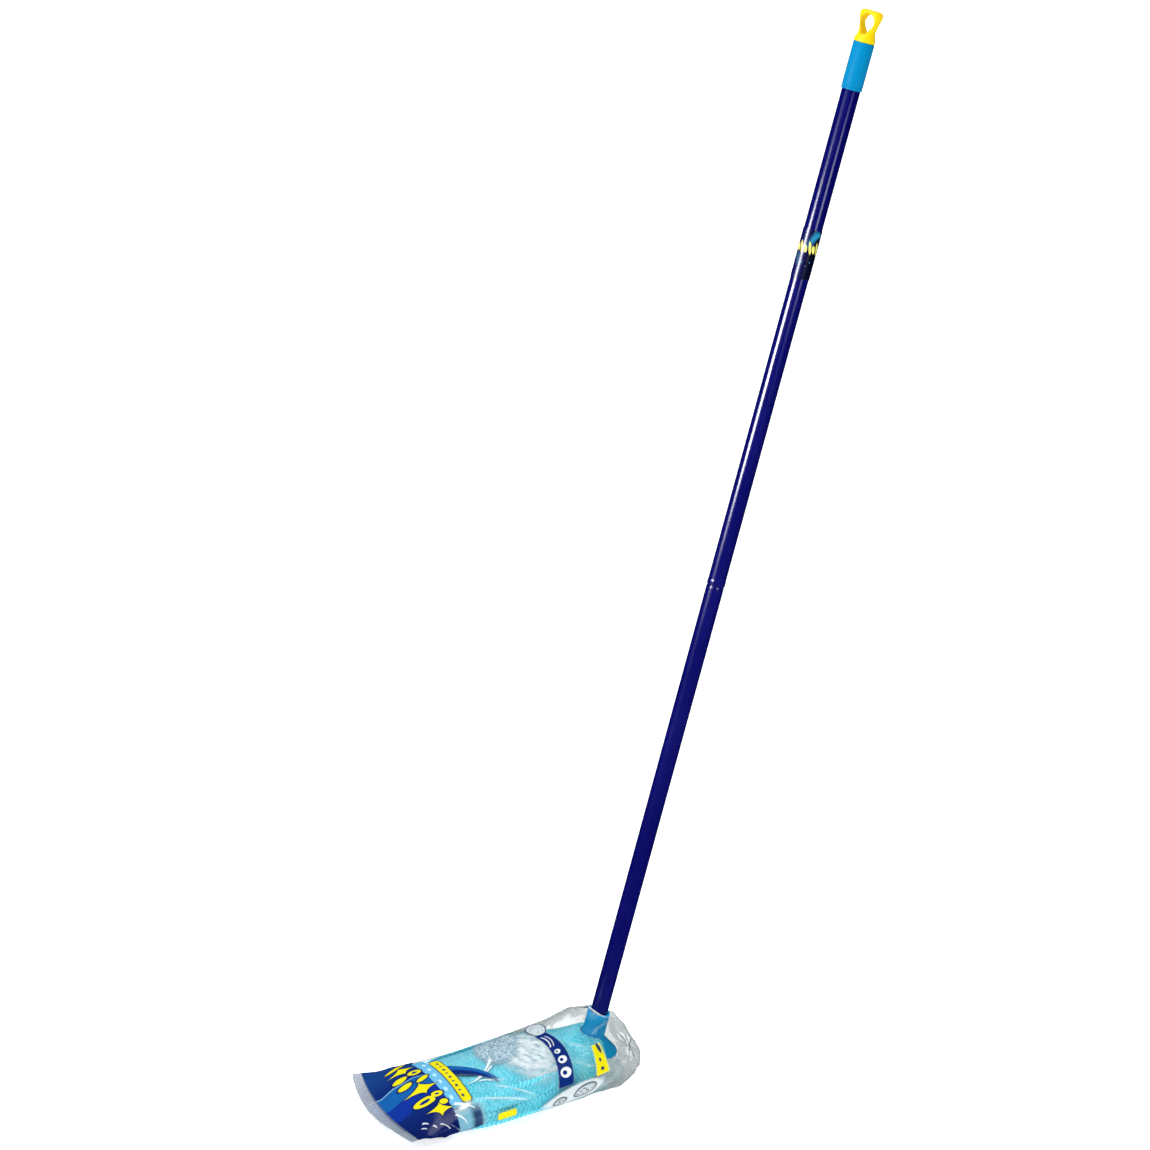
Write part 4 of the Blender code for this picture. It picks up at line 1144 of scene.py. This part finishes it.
def lay_badges(ink):
    """The oval badge, the curved tag, the yellow tags and the pale panel under the socket's end."""
    g = ink.g
    marks = g.steps(g.noise(ink.at, 240.0, 3.0, 0.7), 0.54, 0.60)
    ink.lay(ink.oval((0.071, -0.022), (0.0125, 0.0225), -0.05), DARK)
    badge = ink.oval((0.071, -0.022), (0.0108, 0.0205), -0.05)
    ink.lay(badge, PALE)
    ink.lay(g.times(badge, marks), (0.10, 0.22, 0.33), 0.8)
    ink.lay(ink.swoosh((0.0735, -0.003), (0.0740, 0.089), 0.0078, 0.0112, 0.007), NAVY)
    ink.lay(ink.swoosh((0.0755, 0.004), (0.0735, 0.030), 0.0008, 0.0008, 0.003), WHITE, 0.9)
    ink.lay(ink.swoosh((0.0705, 0.004), (0.0690, 0.030), 0.0006, 0.0006, 0.003), WHITE, 0.8)
    for place, centre, radius in ((0.040, 0.0685, 0.0040), (0.054, 0.0675, 0.0060), (0.072, 0.0695, 0.0075)):
        ink.lay(ink.oval((centre, place), (radius, radius * 0.9)), WHITE)
        ink.lay(ink.oval((centre + 0.2 * radius, place), (radius * 0.42, radius * 0.40)), NAVY)
    ink.settle()
    ink.lay(ink.oval((0.066, 0.107), (0.048, 0.0150), 0.10, 0.002), (0.66, 0.72, 0.74), 0.92)
    for *centre, long, wide in ((0.046, 0.104, 0.0175, 0.0090), (0.083, 0.107, 0.0105, 0.0070)):
        ink.lay(ink.oval(centre, (long, wide), 0.1), BLACK, 0.9)
        ink.lay(ink.oval(centre, (long - 0.0024, wide - 0.0024), 0.1), (0.50, 0.57, 0.60))
        ink.lay(g.times(ink.oval(centre, (long - 0.003, wide - 0.003), 0.1), marks), BLACK, 0.9)
    ink.lay(ink.swoosh((0.0195, 0.053), (0.0190, 0.094), 0.0058, 0.0100, 0.0, 0.0018), YELLOW)
    ink.lay(ink.oval((0.0170, 0.060), (0.0022, 0.0080), 0.15), DARK)
    ink.lay(ink.oval((0.0200, 0.075), (0.0016, 0.0026)), DARK)
    ink.lay(ink.oval((0.0190, 0.086), (0.0026, 0.0022)), DARK)
    ink.lay(ink.box((0.157, 0.097), (0.0125, 0.0050), 0.0, 0.003), YELLOW)


def film_material():
    """Clear polypropylene film printed from inside: ink where it is printed, gloss, folds whitened partly by creasing
    and partly by a painted highlight, and a painted grey shade in the slack film.
    """
    mat, g = new_material("bag_print_film")
    ink = lay_print(g, g.call("ShaderNodeUVMap", 0, {}, uv_map="print"))
    crease_glint = g.attribute("crease_glint")
    haze = g.noise(g.coordinates(), 30.0, 3.0, 0.6)
    normal = g.bump(g.noise(g.coordinates(), 55.0, 2.0, 0.5, 0.6), 0.0011, 0.40)
    # painted highlight: the ink whitened along the creases and round the opening's rim, partly real stress whitening
    colour = g.mix(g.steps(crease_glint, 0.35, 1.0, 0.0, 0.85), ink.colour, (0.86, 0.90, 0.92))
    g.set(Base_Color=colour, Roughness=0.18, Specular_IOR_Level=0.30, Normal=normal)
    turned_away = g.math("POWER", g.call("ShaderNodeLayerWeight", "Facing", {"Blend": 0.5}), 3.0)
    # painted shade: the slack film lets less light through, so it looks grey
    tint = g.mix(g.attribute("slack_shade"), (0.955, 0.965, 0.970), (0.600, 0.620, 0.615))
    clear = g.call("ShaderNodeBsdfTransparent", 0, {"Color": g.mix(turned_away, tint, (0.58, 0.63, 0.64))})
    gloss = g.call("ShaderNodeBsdfGlossy", 0, {"Roughness": 0.14, "Color": (0.95, 0.97, 1.0), "Normal": normal})
    veil = g.call("ShaderNodeBsdfDiffuse", 0, {"Color": (0.86, 0.90, 0.91), "Normal": normal})
    fresnel = g.call("ShaderNodeLayerWeight", "Fresnel", {"Blend": 0.25, "Normal": normal})
    shine = g.math("ADD", g.times(fresnel, 0.35), 0.01, clamp=True)
    shine = g.times(shine, g.steps(g.attribute("taut"), 0.0, 1.0, 1.0, 0.2))
    # painted highlight: a whitish veil along the creases, partly real stress whitening, with a faint random haze
    glint_and_haze = g.math("ADD", g.times(crease_glint, 0.85), g.steps(haze, 0.45, 0.75, 0.0, 0.07), clamp=True)
    film = g.mix_shaders(shine, g.mix_shaders(glint_and_haze, clear, veil), gloss)
    g.put(g.mix_shaders(ink.cover, film, g.shader.outputs[0]), g.output.inputs["Surface"])
    return mat


# ---------------------------------------------------------------- camera, lights and floor

LIGHTS = (  # name, place, target, width, height, power, seen by matt surfaces, seen by glossy ones
    ("overhead", (-0.6, -0.8, 3.6), (0.0, 0.2, 0.3), 3.2, 3.2, 95.0, True, True),
    ("front_fill", (-0.9, -3.6, 2.2), (0.0, 0.0, 0.4), 1.6, 1.2, 16.0, True, False),
    ("left_box", (-2.00, -1.13, 1.29), (0.2, 0.05, 1.1), 1.10, 0.78, 128.0, False, True),
    ("right_box", (1.30, -2.10, 0.92), (0.25, 0.05, 1.2), 0.90, 0.42, 7.0, False, True),
    ("low_fill", (-0.45, -1.00, 1.25), (-0.13, 0.0, 0.05), 0.7, 0.7, 7.0, True, False),
)
SWEEP_FRONT, SWEEP_BACK, SWEEP_SIDE, SWEEP_RISE, SWEEP_BEND = -9.0, 5.0, 9.0, 9.0, 2.0
CAMERA_AT, CAMERA_PITCH, CAMERA_YAW = (-0.110701, -3.012717, 1.570943), math.radians(16.265), math.radians(1.4255)
CAMERA_LENS, CAMERA_SENSOR = 82.634, 36.0


def area_light(name, place, target, width, height, power, on_matt, on_glossy):
    data = bpy.data.lights.new(name, "AREA")
    data.shape = "RECTANGLE"
    data.size, data.size_y = width, height
    data.energy = power
    light = bpy.data.objects.new(name, data)
    light.location = place
    light.rotation_euler = (Vector(target) - Vector(place)).to_track_quat("-Z", "Y").to_euler()
    light.visible_diffuse, light.visible_glossy = on_matt, on_glossy
    bpy.context.scene.collection.objects.link(light)


def make_studio():
    """A white sweep, soft lights overhead and in front, and two soft boxes that only show as highlights."""
    mat, g = new_material("white_sweep")
    tone = g.noise(g.coordinates(), 0.7)
    g.set(Base_Color=g.mix(tone, (0.90, 0.90, 0.90), (0.92, 0.92, 0.92)), Roughness=0.9, Specular_IOR_Level=0.1,
          Emission_Color=(1.0, 1.0, 1.0), Emission_Strength=0.76)
    bend_start = SWEEP_BACK - SWEEP_BEND
    profile = [(SWEEP_FRONT, 0.0), (bend_start, 0.0)]
    profile += [(bend_start + SWEEP_BEND * math.sin(t), SWEEP_BEND * (1 - math.cos(t)))
                for t in np.linspace(0.1, math.pi / 2, 12)]
    profile.append((SWEEP_BACK, SWEEP_RISE))
    points = np.array([[(x, y, z) for x in (-SWEEP_SIDE, SWEEP_SIDE)] for y, z in profile])
    sweep = grid_mesh("sweep", points, False, Matrix.Identity(4), mat)
    sweep.visible_glossy = False
    world = bpy.data.worlds.new("studio")
    world.use_nodes = True
    background = world.node_tree.nodes["Background"].inputs
    background["Color"].default_value = (1.0, 1.0, 1.0, 1.0)
    background["Strength"].default_value = 0.30
    world.cycles_visibility.glossy = False
    bpy.context.scene.world = world
    for light in LIGHTS:
        area_light(*light)
    bpy.context.scene.view_settings.view_transform = "Standard"


def make_camera():
    data = bpy.data.cameras.new("camera")
    data.lens = CAMERA_LENS
    data.sensor_width = CAMERA_SENSOR
    camera = bpy.data.objects.new("camera", data)
    camera.location = CAMERA_AT
    camera.rotation_euler = (math.pi / 2 - CAMERA_PITCH, 0.0, -CAMERA_YAW)
    bpy.context.scene.collection.objects.link(camera)
    bpy.context.scene.camera = camera


# ---------------------------------------------------------------- the mop

def place_piece(piece, body, slot, *nodes):
    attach(piece, body)
    if nodes:
        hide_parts(*nodes)


def make_handle():
    navy = tube_material()
    lower, upper = make_tubes(navy)
    place_piece(lower, "handle_travel", "navy_coated_steel", "lower_tube")
    place_piece(upper, "handle", "navy_coated_steel", "upper_tube")
    blue = plastic("light_blue_moulding", (0.000, 0.215, 0.455), (0.000, 0.17, 0.385), (0.001, 0.26, 0.52), 0.42,
                   gloss=0.03)
    yellow = plastic("yellow_moulding", (0.84, 0.62, 0.001), (0.74, 0.47, 0.001), (0.88, 0.69, 0.004), 0.34,
                     gloss=0.14)
    grey = plastic("grey_moulding", (0.25, 0.27, 0.29), (0.18, 0.20, 0.22), (0.32, 0.34, 0.36), 0.5)
    place_piece(make_grip(blue), "handle", "light_blue_plastic", "grip_sleeve")
    place_piece(make_cap(yellow), "handle", "yellow_plastic", "hanger_cap")
    place_piece(make_label(label_material()), "handle", "printed_decal", "tube_label")
    place_piece(make_tip(grey), "handle", "grey_plastic", "thread_tip")


def make_head():
    blue = plastic("socket_moulding_blue", (0.001, 0.37, 0.74), (0.001, 0.32, 0.67), (0.004, 0.43, 0.80), 0.38,
                   0.2, 0.15)
    place_piece(make_socket(blue), "head", "socket_plastic", "socket")
    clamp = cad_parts["clamp_plug"].data.materials
    clamp.clear()
    clamp.append(plastic("clamp_grey", (0.26, 0.28, 0.30), (0.19, 0.21, 0.23), (0.33, 0.35, 0.37), 0.5))
    # the third colour of each is the tone of the fibre tips and also the painted highlight on the rib crests
    cyan = fibre_material("cyan_fibre", (0.045, 0.480, 0.640), (0.100, 0.620, 0.770), (0.24, 0.74, 0.83))
    white = fibre_material("white_fibre", (0.42, 0.66, 0.74), (0.72, 0.84, 0.87), (0.86, 0.91, 0.93))
    fibres = ((cyan, "blue_microfibre"), (white, "white_microfibre"))
    sections = bundle_sections()
    for index in range(STRIPS):
        pile, slot = fibres[index % 4 == 1]
        for layer in LAYERS:
            for half in layer[5]:
                name = f"ribbon_{index + 1:02d}{layer[0]}{'_near' if half > 0 else ''}"
                ribbon = make_ribbon(name, index, layer, half, sections, pile)
                place_piece(ribbon, "head", slot, *([f"strip_{index + 1:02d}"] if layer[0] == "a" else []))
    for index, turn in enumerate(STRAP_TURNS + WHITE_STRAP_TURNS):
        is_white = turn in WHITE_STRAP_TURNS
        pile, slot = fibres[is_white]
        path = (STRAP_UNDER_SKIRT, WHITE_ON_BUNDLE) if is_white else (STRAP_ON_SKIRT, STRAP_ON_BUNDLE)
        strap = make_strap(f"strap_{index + 1:02d}", index, math.radians(turn), *path, pile)
        place_piece(strap, "head", slot)
    film = make_film(film_material())
    place_piece(film, "head", "printed_film", "bag_film")


def main():
    make_camera()
    make_studio()
    make_handle()
    make_head()


main()
